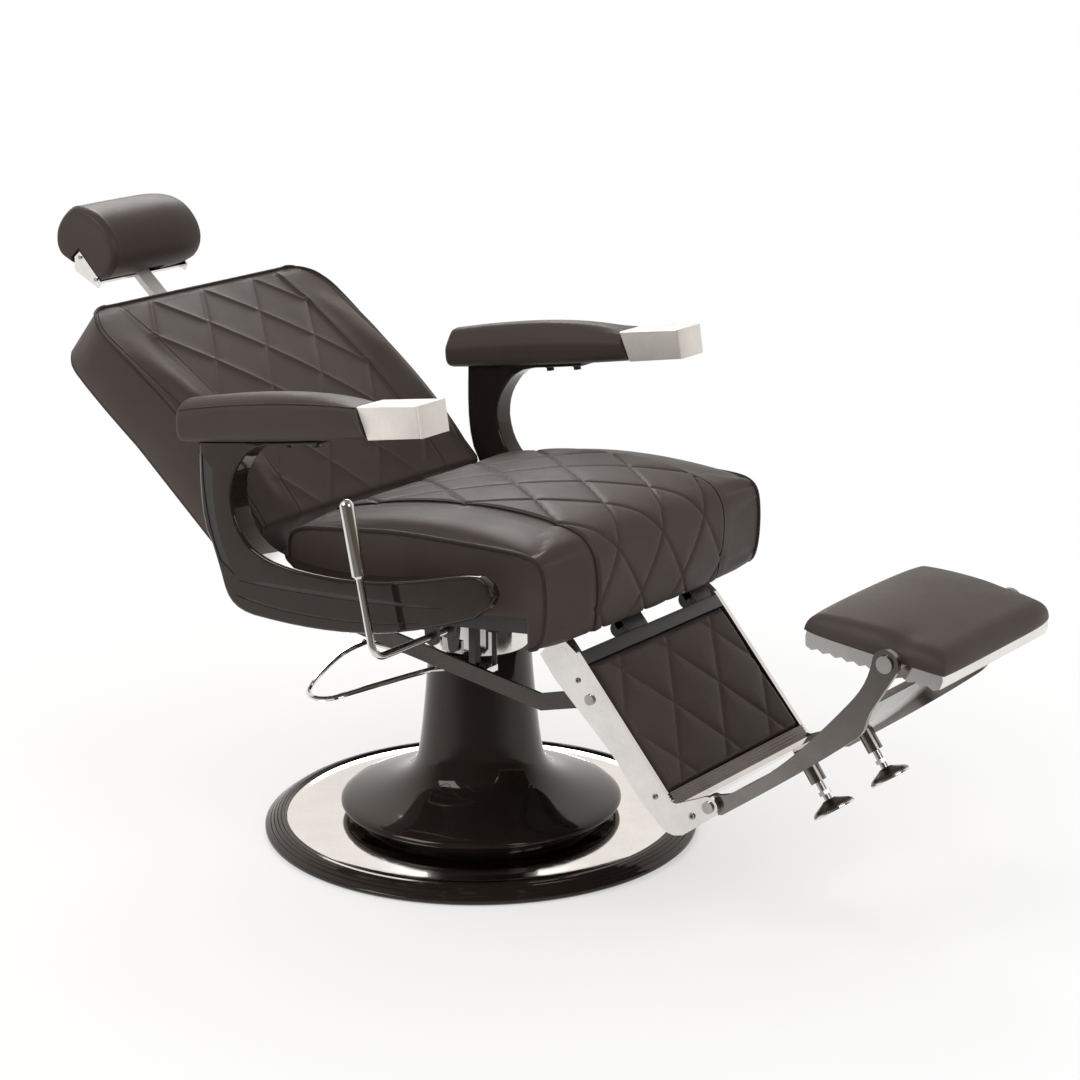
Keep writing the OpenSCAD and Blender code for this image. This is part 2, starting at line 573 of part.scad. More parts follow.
// End strip of the headrest's bracket, widened by g
function flange_line(g) = [[-745, 814 - g], [-694 + g, 790 - g], [-688 + g, 801], [-733, 846 + g], [-745 - g, 836]];
module head_roll() {
  c = [-716, 856];
  st = [[roll_hw, 0.62], [roll_hw - 2, 0.82], [roll_hw - 5, 0.94], [roll_hw - 10, 0.995], [roll_hw - 16, 1], [50, 1.008], [0, 1.012],
    [-50, 1.008], [-roll_hw + 16, 1], [-roll_hw + 10, 0.995], [-roll_hw + 5, 0.94], [-roll_hw + 2, 0.82], [-roll_hw, 0.62]];
  color([0.29, 0.25, 0.24]) difference() {
    loft([for (v = st) [for (p = head_line) let (q = c + (p - c) * v.y) [q.x, v.x, q.y]]]);
    side(-24, 24) polygon([[-754, 800], [-738, 838], [-692, 836], [-646, 784], [-672, 754]]);
    both() side(roll_hw - 6.7, roll_hw + 5) polygon(flange_line(6));
    side(-roll_hw + 2, roll_hw - 2) polygon([[-754, 798], [-745.4, 822.2], [-697.4, 799.4], [-706, 788]]);
  }
}
module head_bracket() {
  color([0.85, 0.84, 0.82]) difference() {
    union() {
      both() side(bar_w / 2 + 1, bar_w / 2 + 6) polygon(concat(arcp([head_px, head_pz], 12, 30, 180, 8), [[-732, 810], [-705, 797.5]]));
      difference() {
        side(-roll_hw + 3, roll_hw - 3) polygon([[-747, 818], [-745.6, 821.8], [-697.6, 799], [-699, 795.2]]);
        translate([-734, -bar_w / 2 - 1, 780]) cube([66, bar_w + 2, 60]);
      }
      both() side(roll_hw - 6.4, roll_hw - 3) polygon(flange_line(0));
    }
    ycyl(head_px, head_pz, 5, -40, 40);
  }
}
module head_screws() {
  color([0.5, 0.5, 0.5]) both() for (p = [[-732, 837], [-698, 804]]) ycyl(p.x, p.y, 3.5, roll_hw - 3, roll_hw - 1);
}

// ---- link and legrest ----
module link_bar() {
  p1 = [back_x + link_dx, back_z + link_dz];
  p2 = [leg_x + link_dx, leg_z + link_dz];
  k = [249, 298];
  h = 13;
  d1 = (k - p1) / norm(k - p1);
  d2 = (p2 - k) / norm(p2 - k);
  n1 = [-d1.y, d1.x] * h;
  n2 = [-d2.y, d2.x] * h;
  nk = (n1 + n2) / 2;
  color([0.35, 0.33, 0.31]) difference() {
    side(-175.5, -169.5) polygon(concat([p1 - n1, k - nk, p2 - n2],
      arcp(p2, h, atan2(-n2.y, -n2.x) + 15, atan2(n2.y, n2.x) + 0 - 15, 9), [p2 + n2, k + nk, p1 + n1],
      arcp(p1, h, atan2(n1.y, n1.x) + 15, atan2(n1.y, n1.x) + 165, 9)));
    ycyl(p1.x, p1.y, pin_r + run, -180, -160);
    ycyl(p2.x, p2.y, 6 + run, -180, -160);
  }
}
leg_outline = concat(
  [[-24, -14], [-39, 23], [-25, 155], [-26, 235], [-21, 281], [-18, 293], [-9, 304], [5, 311], [40, 313.5]],
  [for (v = arcp([fold_a, fold_b], 15.5, -20, 160, 10)) [v.y, v.x]],
  [[57, 280], [26, 270], [18, 262], [18, 10], [12, -9], [-6, -17]]);
module leg_plates() {
  color([0.88, 0.87, 0.85]) both() difference() {
    in_leg() side(plate_in, plate_in + plate_t) polygon([for (v = leg_outline) [v.x, -v.y]]);
    ycyl(leg_x, leg_z, pin_r + run, plate_in - 2, plate_in + plate_t + 2);
    ycyl(fold_x, fold_z, 7, plate_in - 2, plate_in + plate_t + 2);
    ycyl(leg_x + link_dx, leg_z + link_dz, 6, plate_in - 2, plate_in + plate_t + 2);
  }
}
module leg_header() {
  color([0.1, 0.095, 0.09]) difference() {
    in_leg() union() {
      translate([8, -plate_in, -27]) cube([20, 2 * plate_in, 23]);
      for (y = [[-27, 27], [-plate_in, -128], [128, plate_in]]) {
        ycyl(0, 0, 13, y[0], y[1]);
        side(y[0], y[1]) polygon([[0, -12.5], [10, -20], [10, -5], [2, 12]]);
      }
    }
    ycyl(leg_x, leg_z, pin_r + run, -200, 200);
  }
}
module leg_board() {
  color([0.45, 0.36, 0.26]) in_leg() translate([-6, -168, -250]) cube([15.4, 336, 216]);
}
function leg_front(y, a) = let (e = clamp01((abs(y) - 140) / (leg_hw - 140)), f = clamp01((a - 34) / 14) * clamp01((250 - a) / 14),
    c = clamp01(1 - pow(y / leg_hw, 2)))
  10.5 + (3 + 6 * sqrt(1 - pow(e, 3)) + 3 * c + (e > 0.6 ? 0 : 5 * quilt(a, y, 60))) * sqrt(f);
module leg_cushion() {
  aa = concat([34.5, 38, 44], [for (i = [0 : 6]) 60 + 26 * i], [229, 240, 247, 249.5]);
  hw = leg_hw;
  color([0.29, 0.25, 0.24]) loft([for (i = [len(aa) - 1 : -1 : 0]) let (a = aa[i]) [for (p = concat(
      [[9.5, -hw + 2], [14, -hw]], [for (k = [-8 : 8]) let (y = k * 19.5) [leg_front(y, a), y]],
      [[14, hw], [9.5, hw - 2]])) leg_pt(p.x, p.y, a)]]);
}
module leg_strip() {
  color([0.8, 0.8, 0.8]) in_leg() difference() {
    translate([8, -plate_in, -271.5]) cube([13, 2 * plate_in, 20.5]);
    for (i = [0 : 3]) ycyl(21.4, -254 - i * 4.8, 1.6, -plate_in - 1, plate_in + 1);
  }
}
module leg_lip() {
  color([0.88, 0.87, 0.85]) in_leg() translate([-14, -plate_in, -279]) cube([37, 2 * plate_in, 7.5]);
}
module leg_screws() {
  color([0.6, 0.6, 0.6]) in_leg() both() for (p = [[-4, -45], [0.6, -244], [38, -297]]) ycyl(p.x, p.y, 4, plate_in + plate_t, plate_in + plate_t + 2);
}
module link_front_pin() {
  color([0.6, 0.6, 0.6]) union() {
    ycyl(leg_x + link_dx, leg_z + link_dz, 6, -plate_in - plate_t, -169);
    ycyl(leg_x + link_dx, leg_z + link_dz, 8, -plate_in - plate_t - 3, -plate_in - plate_t);
  }
}
module fold_pins() {
  color([0.6, 0.6, 0.6]) both() union() {
    ycyl(fold_x, fold_z, 7, 160, plate_in + plate_t);
    ycyl(fold_x, fold_z, 9, plate_in + plate_t, plate_in + plate_t + 3);
  }
}

// ---- folding footrest ----
function sw(x, z) = [fold_x + (x - 548) * (tray_px - fold_x) / 269.4, fold_z + (z - 207) * (tray_pz - fold_z) / 261.9];
foot_up = 79;
foot_at = sw(643.6, 265.9) + foot_up * [sin(36), -cos(36)];
swing_up = bez(sw(556, 219.5), sw(640, 262), sw(700, 330), sw(752, 389), 26);
module swing_frame() {
  arm = concat(
    arcp([fold_x, fold_z], 14, 120, 300, 8),
    bez(sw(566, 197), sw(640, 250), sw(720, 308), sw(778, 357), 8),
    bez(sw(778, 357), sw(795, 372), sw(786, 382), sw(803, 408), 6),
    arcp([tray_px, tray_pz], 20, -35, 160, 10),
    bez(sw(796, 462), sw(788, 430), sw(774, 415), sw(752, 389), 6),
    [for (i = [25 : -1 : 2]) swing_up[i]]);
  n = len(swing_up);
  plate = concat(
    [for (i = [3 : n - 1]) let (t = swing_up[i] - swing_up[i - 1]) swing_up[i] + 11 * [t.y, -t.x] / norm(t)],
    [for (i = [n - 1 : -1 : 3]) each [
      swing_up[i] + (i % 2 == 0 ? 1 : -1.2) * [-0.66, 0.75],
      swing_up[i] * 0.5 + swing_up[i - 1] * 0.5]]);
  color([0.8, 0.79, 0.77]) difference() {
    union() {
      both() side(swing_out - swing_t, swing_out) polygon(arm);
      side(-swing_out + swing_t, swing_out - swing_t) polygon(plate);
      in_foot() both() translate([0, foot_y, foot_up - 33]) cylinder(r = 12, h = 33);
      both() ycyl(fold_x, fold_z, 14, 158, swing_out);
    }
    in_foot() both() translate([0, foot_y, 30]) cylinder(r = stem_r + run, h = 70);
    both() ycyl(fold_x, fold_z, 7 + run, 150, 200);
    both() ycyl(tray_px, tray_pz, pin_r + run, 150, 200);
  }
}
module in_foot() { translate([foot_at.x, 0, foot_at.y]) rotate([0, -36, 0]) children(); }
module foot_stem_left() {
  color([0.7, 0.7, 0.7]) in_foot() translate([0, foot_y, 0]) union() {
    translate([0, 0, 18]) cylinder(r = stem_r, h = 58);
    translate([0, 0, 26]) cylinder(r = stem_r + 4, h = 6, $fn = 6);
  }
}
module foot_stem_right() { mirror([0, 1, 0]) foot_stem_left(); }
module foot_glide_left() {
  color([0.08, 0.08, 0.08]) in_foot() translate([0, foot_y, 0]) rotate_extrude()
    polygon([[0, 0], [glide_r - 2, 0], [glide_r, 2], [glide_r, 5], [glide_r - 4, 9], [12, 16], [9, 18], [0, 18]]);
}
module foot_glide_right() { mirror([0, 1, 0]) foot_glide_left(); }
tray_back = -138;
module foot_tray() {
  n = 44;
  wave = [for (i = [0 : n]) [tray_back + tray_l * i / n, -tray_h + 16 + 2 * cos(i * 90)]];
  color([0.85, 0.84, 0.82]) in_tray() difference() {
    side(-tray_hw, tray_hw) polygon(concat(wave, [[tray_back + tray_l + 3, 4], [tray_back + tray_l, 16], [tray_back, 16], [tray_back - 2, 4]]));
    translate([tray_back + 5, -tray_hw + 5, -tray_h + 24]) cube([tray_l - 10, 2 * tray_hw - 10, 60]);
  }
}
function tray_top(x, y) = let (u = clamp01((x - tray_back - 6) / (tray_l - 12)), v = clamp01((y + tray_hw - 6) / (2 * tray_hw - 12)),
    f = pow(sin(180 * u), 0.45) * pow(sin(180 * v), 0.45))
  15 + 24 * f + 3 * sin(180 * u);
module foot_cushion() {
  x0 = tray_back + 5.5;
  l = tray_l - 11;
  hw = tray_hw - 5.5;
  k = [0, 0.02, 0.07, 0.16, 0.28, 0.42, 0.58, 0.72, 0.84, 0.93, 0.98, 1];
  color([0.29, 0.25, 0.24]) in_tray() loft([for (j = [0 : len(k) - 1]) let (x = x0 + l * k[j]) concat(
    [[x, -hw, -tray_h + 24.2]], [for (i = [0 : len(k) - 1]) let (y = -hw + 2 * hw * k[i]) [x, y, tray_top(x, y)]],
    [[x, hw, -tray_h + 24.2]])]);
}
module tray_pins() {
  color([0.8, 0.79, 0.77]) both() union() {
    ycyl(tray_px, tray_pz, 15, tray_hw, swing_out - swing_t - 0.5);
    ycyl(tray_px, tray_pz, pin_r, tray_hw, swing_out + 0.5);
    ycyl(tray_px, tray_pz, pin_r + 4, swing_out + 0.5, swing_out + 3.5);
  }
}

// ---- levers ----
lever_tilt = 11.6;
lever_bend = 22;
module in_lever() { translate([lever_x, 0, lever_z]) rotate([0, -lever_tilt, 0]) children(); }
module hand_lever() {
  color([0.85, 0.84, 0.82]) union() {
    ycyl(lever_x, lever_z, lever_r, -grip_y + lever_bend, -crank_y + 3);
    in_lever() translate([0, -grip_y + lever_bend, lever_bend]) rotate([0, 90, 0]) rotate([0, 0, -90])
      rotate_extrude(angle = 90) translate([lever_bend, 0]) circle(r = lever_r, $fn = 32);
    in_lever() translate([0, -grip_y, lever_bend]) cylinder(r = lever_r, h = 105);
  }
}
module release_crank() {
  color([0.5, 0.5, 0.5]) difference() {
    union() {
      side(-crank_y - 7.5, -crank_y) polygon(concat(arcp([lever_x, lever_z], 11, 0, 180, 8), arcp([lever_x, lever_z - crank_l], 7, 180, 360, 8)));
      ycyl(lever_x, lever_z - crank_l, 3, -crank_y - 1, -crank_y + 9);
    }
    ycyl(lever_x, lever_z, lever_r, -crank_y - 11, -crank_y + 3);
  }
}
module hand_grip() {
  color([0.85, 0.84, 0.82]) in_lever() translate([0, -grip_y, 118]) difference() {
    rotate_extrude() polygon(concat([[0, 0], [lever_r + 1.5, 0], [grip_r, 4]], arcp([0, 104], grip_r, 0, 90, 8)));
    translate([0, 0, -1]) cylinder(r = lever_r, h = 10);
  }
}
module release_rod() {
  z = lever_z - crank_l;
  color([0.6, 0.6, 0.6]) difference() {
    union() {
      translate([-183, -152, z - 6]) cube([33, 12, 17]);
      rod([-152, -146, z], [20, -146, z], 4);
      rod([20, -146, z], [80, -185, z], 4);
      translate([20, -146, z]) sphere(r = 4);
      translate([78, -189, z - 10]) cube([36, 6, 20]);
    }
    ycyl(back_x, back_z, 60.6, -160, -130);
    translate([lever_x - 3.6, -195, z - 6]) cube([7.2, 15, 12]);
  }
}
function pedal_pt(p) = [p.x, p.y, pedal_z + 0.12 * (p.y - pedal_y)];
pedal_path = concat([[44, -95]],
  bez([43, -100], [34, -112], [20, -120], [8, -132], 4),
  bez([8, -132], [-10, -166], [-40, -236], [-56, -272], 4),
  bez([-56, -272], [-64, -294], [-96, -300], [-110, -276], 7),
  bez([-110, -276], [-126, -250], [-142, -206], [-152, -160], 4),
  bez([-152, -160], [-156, -140], [-155, -120], [-151, -104], 4), [[-149, -95]]);
// Round wire along a path of points, its sections turned halfway at each bend
module wire(path, r, sides) {
  n = len(path);
  loft([for (i = [n - 1 : -1 : 0]) let (
      d = path[min(i + 1, n - 1)] - path[max(i - 1, 0)],
      t = d / norm(d),
      u = cross([0, 0, 1], t) / norm(cross([0, 0, 1], t)),
      v = cross(t, u))
    [for (k = [0 : sides - 1]) path[i] - r * (u * cos(360 * k / sides) - v * sin(360 * k / sides))]]);
}
module pedal_loop() {
  color([0.85, 0.84, 0.82]) union() {
    wire([for (p = pedal_path) pedal_pt(p)], wire_r - 0.2, 10);
    translate([-154, pedal_y, pedal_z]) rotate([0, 90, 0]) cylinder(r = wire_r, h = 244);
    translate([82, pedal_y, pedal_z - 5]) cube([8, 24, 5 + wire_r]);
  }
}
module pump_plunger() {
  color([0.85, 0.84, 0.82]) translate([86, -74, pedal_z + wire_r + 0.3]) cylinder(r = 4, h = 78);
}

base_disc();
base_mirror();
trumpet_cover();
pump_cylinder();
pump_gland();
lift_ram();
column_sleeve();
column_head();
swivel_hub();
seat_frame();
seat_board();
seat_cushion();
arm_right();
arm_left();
arm_spacers();
arm_bolts();
armpad_right();
armpad_left();
armcap_right();
armcap_left();
cap_faces();
back_hinge_pins();
leg_hinge_pin();
pedal_hanger();
pump_block();
back_board();
back_cushion();
back_straps();
lock_sector();
head_guide();
link_pin();
head_bar();
head_hinge_pin();
head_bracket();
head_roll();
head_screws();
link_bar();
leg_plates();
leg_header();
leg_board();
leg_cushion();
leg_strip();
leg_lip();
leg_screws();
link_front_pin();
fold_pins();
swing_frame();
foot_stem_right();
foot_stem_left();
foot_glide_right();
foot_glide_left();
foot_tray();
foot_cushion();
tray_pins();
hand_lever();
hand_grip();
release_crank();
release_rod();
pedal_loop();
pump_plunger();
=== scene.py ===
# %% [markdown]
# # A reclining barber chair
# The rigid parts arrive as a finished frame, in metres, with X forward, Y to the sitter's left and Z up.
# This lesson dresses them: it lights a small studio, gives each metal part its finish, and makes the
# upholstery as soft, sewn forms.

# %% Load the frame
import bpy, math, json
import numpy as np
from mathutils import Matrix, Vector

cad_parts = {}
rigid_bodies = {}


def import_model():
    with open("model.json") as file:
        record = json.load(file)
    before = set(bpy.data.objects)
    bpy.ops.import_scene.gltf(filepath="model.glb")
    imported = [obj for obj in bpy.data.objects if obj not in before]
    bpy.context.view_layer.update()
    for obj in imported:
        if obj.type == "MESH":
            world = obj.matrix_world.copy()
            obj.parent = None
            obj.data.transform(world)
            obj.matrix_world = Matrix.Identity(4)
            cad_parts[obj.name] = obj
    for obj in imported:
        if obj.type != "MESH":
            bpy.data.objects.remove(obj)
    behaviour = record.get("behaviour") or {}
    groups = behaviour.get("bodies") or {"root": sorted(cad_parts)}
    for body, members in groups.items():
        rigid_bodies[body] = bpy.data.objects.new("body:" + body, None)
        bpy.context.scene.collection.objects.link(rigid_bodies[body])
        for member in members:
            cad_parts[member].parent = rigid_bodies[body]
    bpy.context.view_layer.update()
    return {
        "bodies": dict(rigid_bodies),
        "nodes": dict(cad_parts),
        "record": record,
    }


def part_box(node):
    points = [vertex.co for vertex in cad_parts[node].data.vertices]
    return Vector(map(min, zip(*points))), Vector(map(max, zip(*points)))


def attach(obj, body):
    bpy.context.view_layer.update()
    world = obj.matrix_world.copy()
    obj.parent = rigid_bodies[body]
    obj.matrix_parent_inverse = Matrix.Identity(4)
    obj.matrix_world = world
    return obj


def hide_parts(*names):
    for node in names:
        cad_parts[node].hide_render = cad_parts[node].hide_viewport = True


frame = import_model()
nodes = frame["nodes"]

# %% [markdown]
# ## Camera, floor and lamps
# A long lens from a little above keeps the chair's lines calm. The camera is placed by its direction
# from the subject, so the direction can be read in degrees.

# %% Camera
AZIMUTH, ELEVATION, ROLL = math.radians(36.94), math.radians(16.02), math.radians(0.178)
CAMERA_AT = Vector((2.564, -3.254, 1.649))
LENS, SENSOR = 93.57, 36
across = math.cos(ELEVATION)
back_vector = Vector((math.sin(AZIMUTH) * across, -math.cos(AZIMUTH) * across, math.sin(ELEVATION)))
camera_data = bpy.data.cameras.new("camera")
camera_data.sensor_width = SENSOR
camera_data.lens = LENS
camera = bpy.data.objects.new("camera", camera_data)
camera.location = CAMERA_AT
turned_to = back_vector.to_track_quat("Z", "Y").to_matrix()
camera.rotation_euler = (turned_to @ Matrix.Rotation(-ROLL, 3, "Z")).to_euler()
scene = bpy.context.scene
scene.collection.objects.link(camera)
scene.camera = camera
scene.view_settings.view_transform = "Standard"
print("camera", tuple(round(v, 3) for v in camera.location))


# %% Small helpers
def deselect():
    """Clears the selection, so that an operator touches nothing else."""
    bpy.ops.object.select_all(action="DESELECT")


def alone(piece):
    """Makes one piece the only selected and active one."""
    deselect()
    piece.select_set(True)
    bpy.context.view_layer.objects.active = piece


def trim(piece, body):
    """Says which body a small extra piece moves with."""
    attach(piece, body)


def soft(piece, body, name):
    """Says that a soft piece moves with a body and stands for one node."""
    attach(piece, body)
    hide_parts(name)


def new_material(name):
    """A new material with its node tree and its main shader."""
    m = bpy.data.materials.new(name)
    m.use_nodes = True
    return m, m.node_tree, m.node_tree.nodes["Principled BSDF"]


def node(tree, kind, **values):
    """A new node; each value is a setting of the node or the default of one of its inputs."""
    n = tree.nodes.new(kind)
    for key, value in values.items():
        if hasattr(n, key):
            setattr(n, key, value)
        else:
            n.inputs[key.replace("_", " ")].default_value = value
    return n


def wire_up(tree, *pairs):
    """Links each output to its input."""
    for a, b in pairs:
        tree.links.new(a, b)


def math_node(tree, op, a, b=None, clamp=False):
    """The result of one sum on sockets or plain numbers."""
    n = tree.nodes.new("ShaderNodeMath")
    n.operation = op
    n.use_clamp = clamp
    for i, v in enumerate((a, b)):
        if v is None:
            continue
        if isinstance(v, (int, float)):
            n.inputs[i].default_value = v
        else:
            tree.links.new(v, n.inputs[i])
    return n.outputs[0]


def ramp(tree, source, from_min, from_max, to_min, to_max):
    """A smooth change from one value to another as the source goes through its range."""
    n = node(tree, "ShaderNodeMapRange", interpolation_type="SMOOTHSTEP")
    values = {"From Min": from_min, "From Max": from_max, "To Min": to_min, "To Max": to_max}
    for key, value in values.items():
        n.inputs[key].default_value = value
    tree.links.new(source, n.inputs["Value"])
    return n.outputs["Result"]


def along(tree, coordinate, direction):
    """How far a coordinate reaches in one direction."""
    n = node(tree, "ShaderNodeVectorMath", operation="DOT_PRODUCT")
    n.inputs[1].default_value = direction
    tree.links.new(coordinate, n.inputs[0])
    return n.outputs["Value"]


# %% [markdown]
# ## The studio
# A white studio is a white floor that runs out of sight and a few large, soft lamps. If the lamps alone
# had to make the floor white, they would bleach the chair. So the floor and the world show themselves
# as white where the camera or a reflection sees them, more so further from the chair, and near it the
# floor still takes the soft shadow. Behind the camera the room is darker, which gives metal its contrast.

# %% Floor
def studio_floor():
    """The pale floor, white where it is seen from far and shaded near the chair."""
    deselect()
    bpy.ops.mesh.primitive_plane_add(size=160, location=(0, 0, -0.0015))
    floor = bpy.context.object
    floor.name = "studio_floor"
    m, tree, bsdf = new_material("studio_floor")
    bsdf.inputs["Base Color"].default_value = (0.95, 0.93, 0.91, 1)
    bsdf.inputs["Roughness"].default_value = 0.7
    bsdf.inputs["Specular IOR Level"].default_value = 0.1
    coord = node(tree, "ShaderNodeTexCoord")
    away = node(tree, "ShaderNodeVectorMath", operation="LENGTH")
    path = node(tree, "ShaderNodeLightPath")
    white = node(tree, "ShaderNodeEmission")
    both = node(tree, "ShaderNodeMixShader")
    wire_up(tree, (coord.outputs["Object"], away.inputs[0]))
    spread = ramp(tree, away.outputs["Value"], 0.35, 1.5, 0.5, 1.0)
    front = along(tree, coord.outputs["Object"], (math.sin(AZIMUTH), -math.cos(AZIMUTH), 0))
    dim = ramp(tree, front, 0.3, 1.5, 1.0, 0.2)
    direct = math_node(tree, "MAXIMUM", path.outputs["Is Camera Ray"],
                       path.outputs["Is Transmission Ray"], True)
    shaded = math_node(tree, "MAXIMUM", spread, math_node(tree, "SUBTRACT", 1.0, dim))
    mirrored = math_node(tree, "MULTIPLY", path.outputs["Is Glossy Ray"], shaded)
    share = math_node(tree, "MAXIMUM", math_node(tree, "MULTIPLY", direct, spread), mirrored, True)
    strength = math_node(tree, "MAXIMUM", direct, dim)
    wire_up(tree, (strength, white.inputs["Strength"]), (share, both.inputs["Fac"]),
            (bsdf.outputs["BSDF"], both.inputs[1]), (white.outputs["Emission"], both.inputs[2]),
            (both.outputs["Shader"], tree.nodes["Material Output"].inputs["Surface"]))
    floor.data.materials.append(m)
    print("floor", floor.dimensions.x, "m")


studio_floor()

# %% Lamps
LAMPS = (
    ("lamp_key", (-1.6, -3.2, 3.6), 2.4, 95, (0, 0, 0.5)),
    ("lamp_fill", (3.6, -0.6, 2.6), 2.2, 45, (0, 0, 0.5)),
    ("lamp_back", (-2.6, 2.6, 3.2), 1.8, 75, (0, 0, 0.6)),
)
for name, at, size, power, aim in LAMPS:
    lamp = bpy.data.lights.new(name, "AREA")
    lamp.energy = power
    lamp.size = size
    o = bpy.data.objects.new(name, lamp)
    o.location = at
    o.rotation_euler = (Vector(at) - Vector(aim)).to_track_quat("Z", "Y").to_euler()
    scene.collection.objects.link(o)
print("lamps", len(LAMPS))


# %% World
AMBIENT = 0.55
WARM_SIDE = (0.94, -0.34, 0)


def studio_world():
    """The room around the chair, white to the camera and darker behind it in reflections."""
    world = bpy.data.worlds.new("studio")
    world.use_nodes = True
    scene.world = world
    tree = world.node_tree
    background = tree.nodes["Background"]
    coord = node(tree, "ShaderNodeTexCoord")
    path = node(tree, "ShaderNodeLightPath")
    glossy = path.outputs["Is Glossy Ray"]
    room = ramp(tree, along(tree, coord.outputs["Generated"], -back_vector), -0.45, 0.5, 0.16, 1.0)
    direct = math_node(tree, "MAXIMUM", path.outputs["Is Camera Ray"],
                       path.outputs["Is Transmission Ray"], True)
    seen = math_node(tree, "MAXIMUM", direct, math_node(tree, "MULTIPLY", glossy, room), True)
    hidden = math_node(tree, "SUBTRACT", 1.0, math_node(tree, "MAXIMUM", direct, glossy, True))
    strength = math_node(tree, "ADD", seen, math_node(tree, "MULTIPLY", hidden, AMBIENT))
    warm = ramp(tree, along(tree, coord.outputs["Generated"], WARM_SIDE), 0.3, 0.9, 0.0, 1.0)
    tint = node(tree, "ShaderNodeMix", data_type="RGBA")
    tint.inputs[6].default_value = (1, 0.965, 0.93, 1)
    tint.inputs[7].default_value = (0.66, 0.56, 0.45, 1)
    whole = node(tree, "ShaderNodeMix", data_type="RGBA")
    whole.inputs[6].default_value = (1, 1, 1, 1)
    wire_up(tree, (warm, tint.inputs[0]), (glossy, whole.inputs[0]), (tint.outputs[2], whole.inputs[7]),
            (whole.outputs[2], background.inputs["Color"]), (strength, background.inputs["Strength"]))


studio_world()
print("world ready")

# %% [markdown]
# ## Finishes
# Wear, fingerprints and casting texture are node groups, so that each metal takes the same effect
# with its own values. Groups give out only values; the shader stays in the material.

# %% Node groups for surface effects
def effect_group(name, inputs, outputs):
    """A node group with number inputs and outputs, and its two ends."""
    g = bpy.data.node_groups.new(name, "ShaderNodeTree")
    for n, default in inputs:
        s = g.interface.new_socket(name=n, in_out="INPUT", socket_type="NodeSocketFloat")
        s.default_value = default
    for n in outputs:
        g.interface.new_socket(name=n, in_out="OUTPUT", socket_type="NodeSocketFloat")
    return g, g.nodes.new("NodeGroupInput"), g.nodes.new("NodeGroupOutput")


def make_smudge_group():
    """Roughness that varies with soft smudges and fine specks, and the mask of it."""
    g, i, o = effect_group("smudges", (("Scale", 9.0), ("Low", 0.05), ("High", 0.16)),
                           ("Roughness", "Mask"))
    coord = g.nodes.new("ShaderNodeTexCoord")
    big = node(g, "ShaderNodeTexNoise", Detail=5.0, Roughness=0.6)
    fine = node(g, "ShaderNodeTexNoise", Detail=3.0, Roughness=0.7, Scale=160.0)
    wire_up(g, (coord.outputs["Object"], big.inputs["Vector"]),
            (coord.outputs["Object"], fine.inputs["Vector"]), (i.outputs["Scale"], big.inputs["Scale"]))
    mixed = math_node(g, "ADD", math_node(g, "MULTIPLY", big.outputs["Fac"], 0.75),
                      math_node(g, "MULTIPLY", fine.outputs["Fac"], 0.25))
    mask = math_node(g, "MULTIPLY", math_node(g, "SUBTRACT", mixed, 0.38), 4.0, True)
    span = math_node(g, "SUBTRACT", i.outputs["High"], i.outputs["Low"])
    rough = math_node(g, "ADD", math_node(g, "MULTIPLY", mask, span), i.outputs["Low"])
    wire_up(g, (rough, o.inputs["Roughness"]), (mask, o.inputs["Mask"]))
    return g


def make_ripple_group():
    """Height of a slightly uneven surface: slow waves with a fine skin on them."""
    g, i, o = effect_group("surface_ripple", (("Scale", 20.0), ("Fine Scale", 400.0), ("Fine", 0.3)),
                           ("Height",))
    coord = g.nodes.new("ShaderNodeTexCoord")
    a = node(g, "ShaderNodeTexNoise", Detail=3.0)
    b = node(g, "ShaderNodeTexNoise", Detail=2.0)
    wire_up(g, (coord.outputs["Object"], a.inputs["Vector"]), (coord.outputs["Object"], b.inputs["Vector"]),
            (i.outputs["Scale"], a.inputs["Scale"]), (i.outputs["Fine Scale"], b.inputs["Scale"]))
    h = math_node(g, "ADD", a.outputs["Fac"], math_node(g, "MULTIPLY", b.outputs["Fac"], i.outputs["Fine"]))
    wire_up(g, (h, o.inputs["Height"]))
    return g


SMUDGES = make_smudge_group()
RIPPLE = make_ripple_group()
print("effect groups", SMUDGES.name, RIPPLE.name)


# %% Metal finishes
def metal(name, color, low, high, metallic=1.0, ripple=(18.0, 600.0, 0.2), bump=0.02, gloss=0.5,
          tint=(1.0, 1.0, 1.0)):
    """A hard finish: its roughness goes from low to high with the smudges."""
    m, tree, bsdf = new_material(name)
    smudge = tree.nodes.new("ShaderNodeGroup")
    smudge.node_tree = SMUDGES
    smudge.inputs["Low"].default_value = low
    smudge.inputs["High"].default_value = high
    waves = tree.nodes.new("ShaderNodeGroup")
    waves.node_tree = RIPPLE
    for key, value in zip(("Scale", "Fine Scale", "Fine"), ripple):
        waves.inputs[key].default_value = value
    bumps = node(tree, "ShaderNodeBump", Strength=bump, Distance=0.001)
    mix = node(tree, "ShaderNodeMix", data_type="RGBA")
    mix.inputs[6].default_value = (*color, 1)
    mix.inputs[7].default_value = (*[c * 0.86 for c in color], 1)
    bsdf.inputs["Metallic"].default_value = metallic
    bsdf.inputs["Specular IOR Level"].default_value = gloss
    bsdf.inputs["Specular Tint"].default_value = (*tint, 1)
    wire_up(tree, (smudge.outputs["Roughness"], bsdf.inputs["Roughness"]),
            (waves.outputs["Height"], bumps.inputs["Height"]),
            (bumps.outputs["Normal"], bsdf.inputs["Normal"]),
            (smudge.outputs["Mask"], mix.inputs[0]), (mix.outputs[2], bsdf.inputs["Base Color"]))
    return m


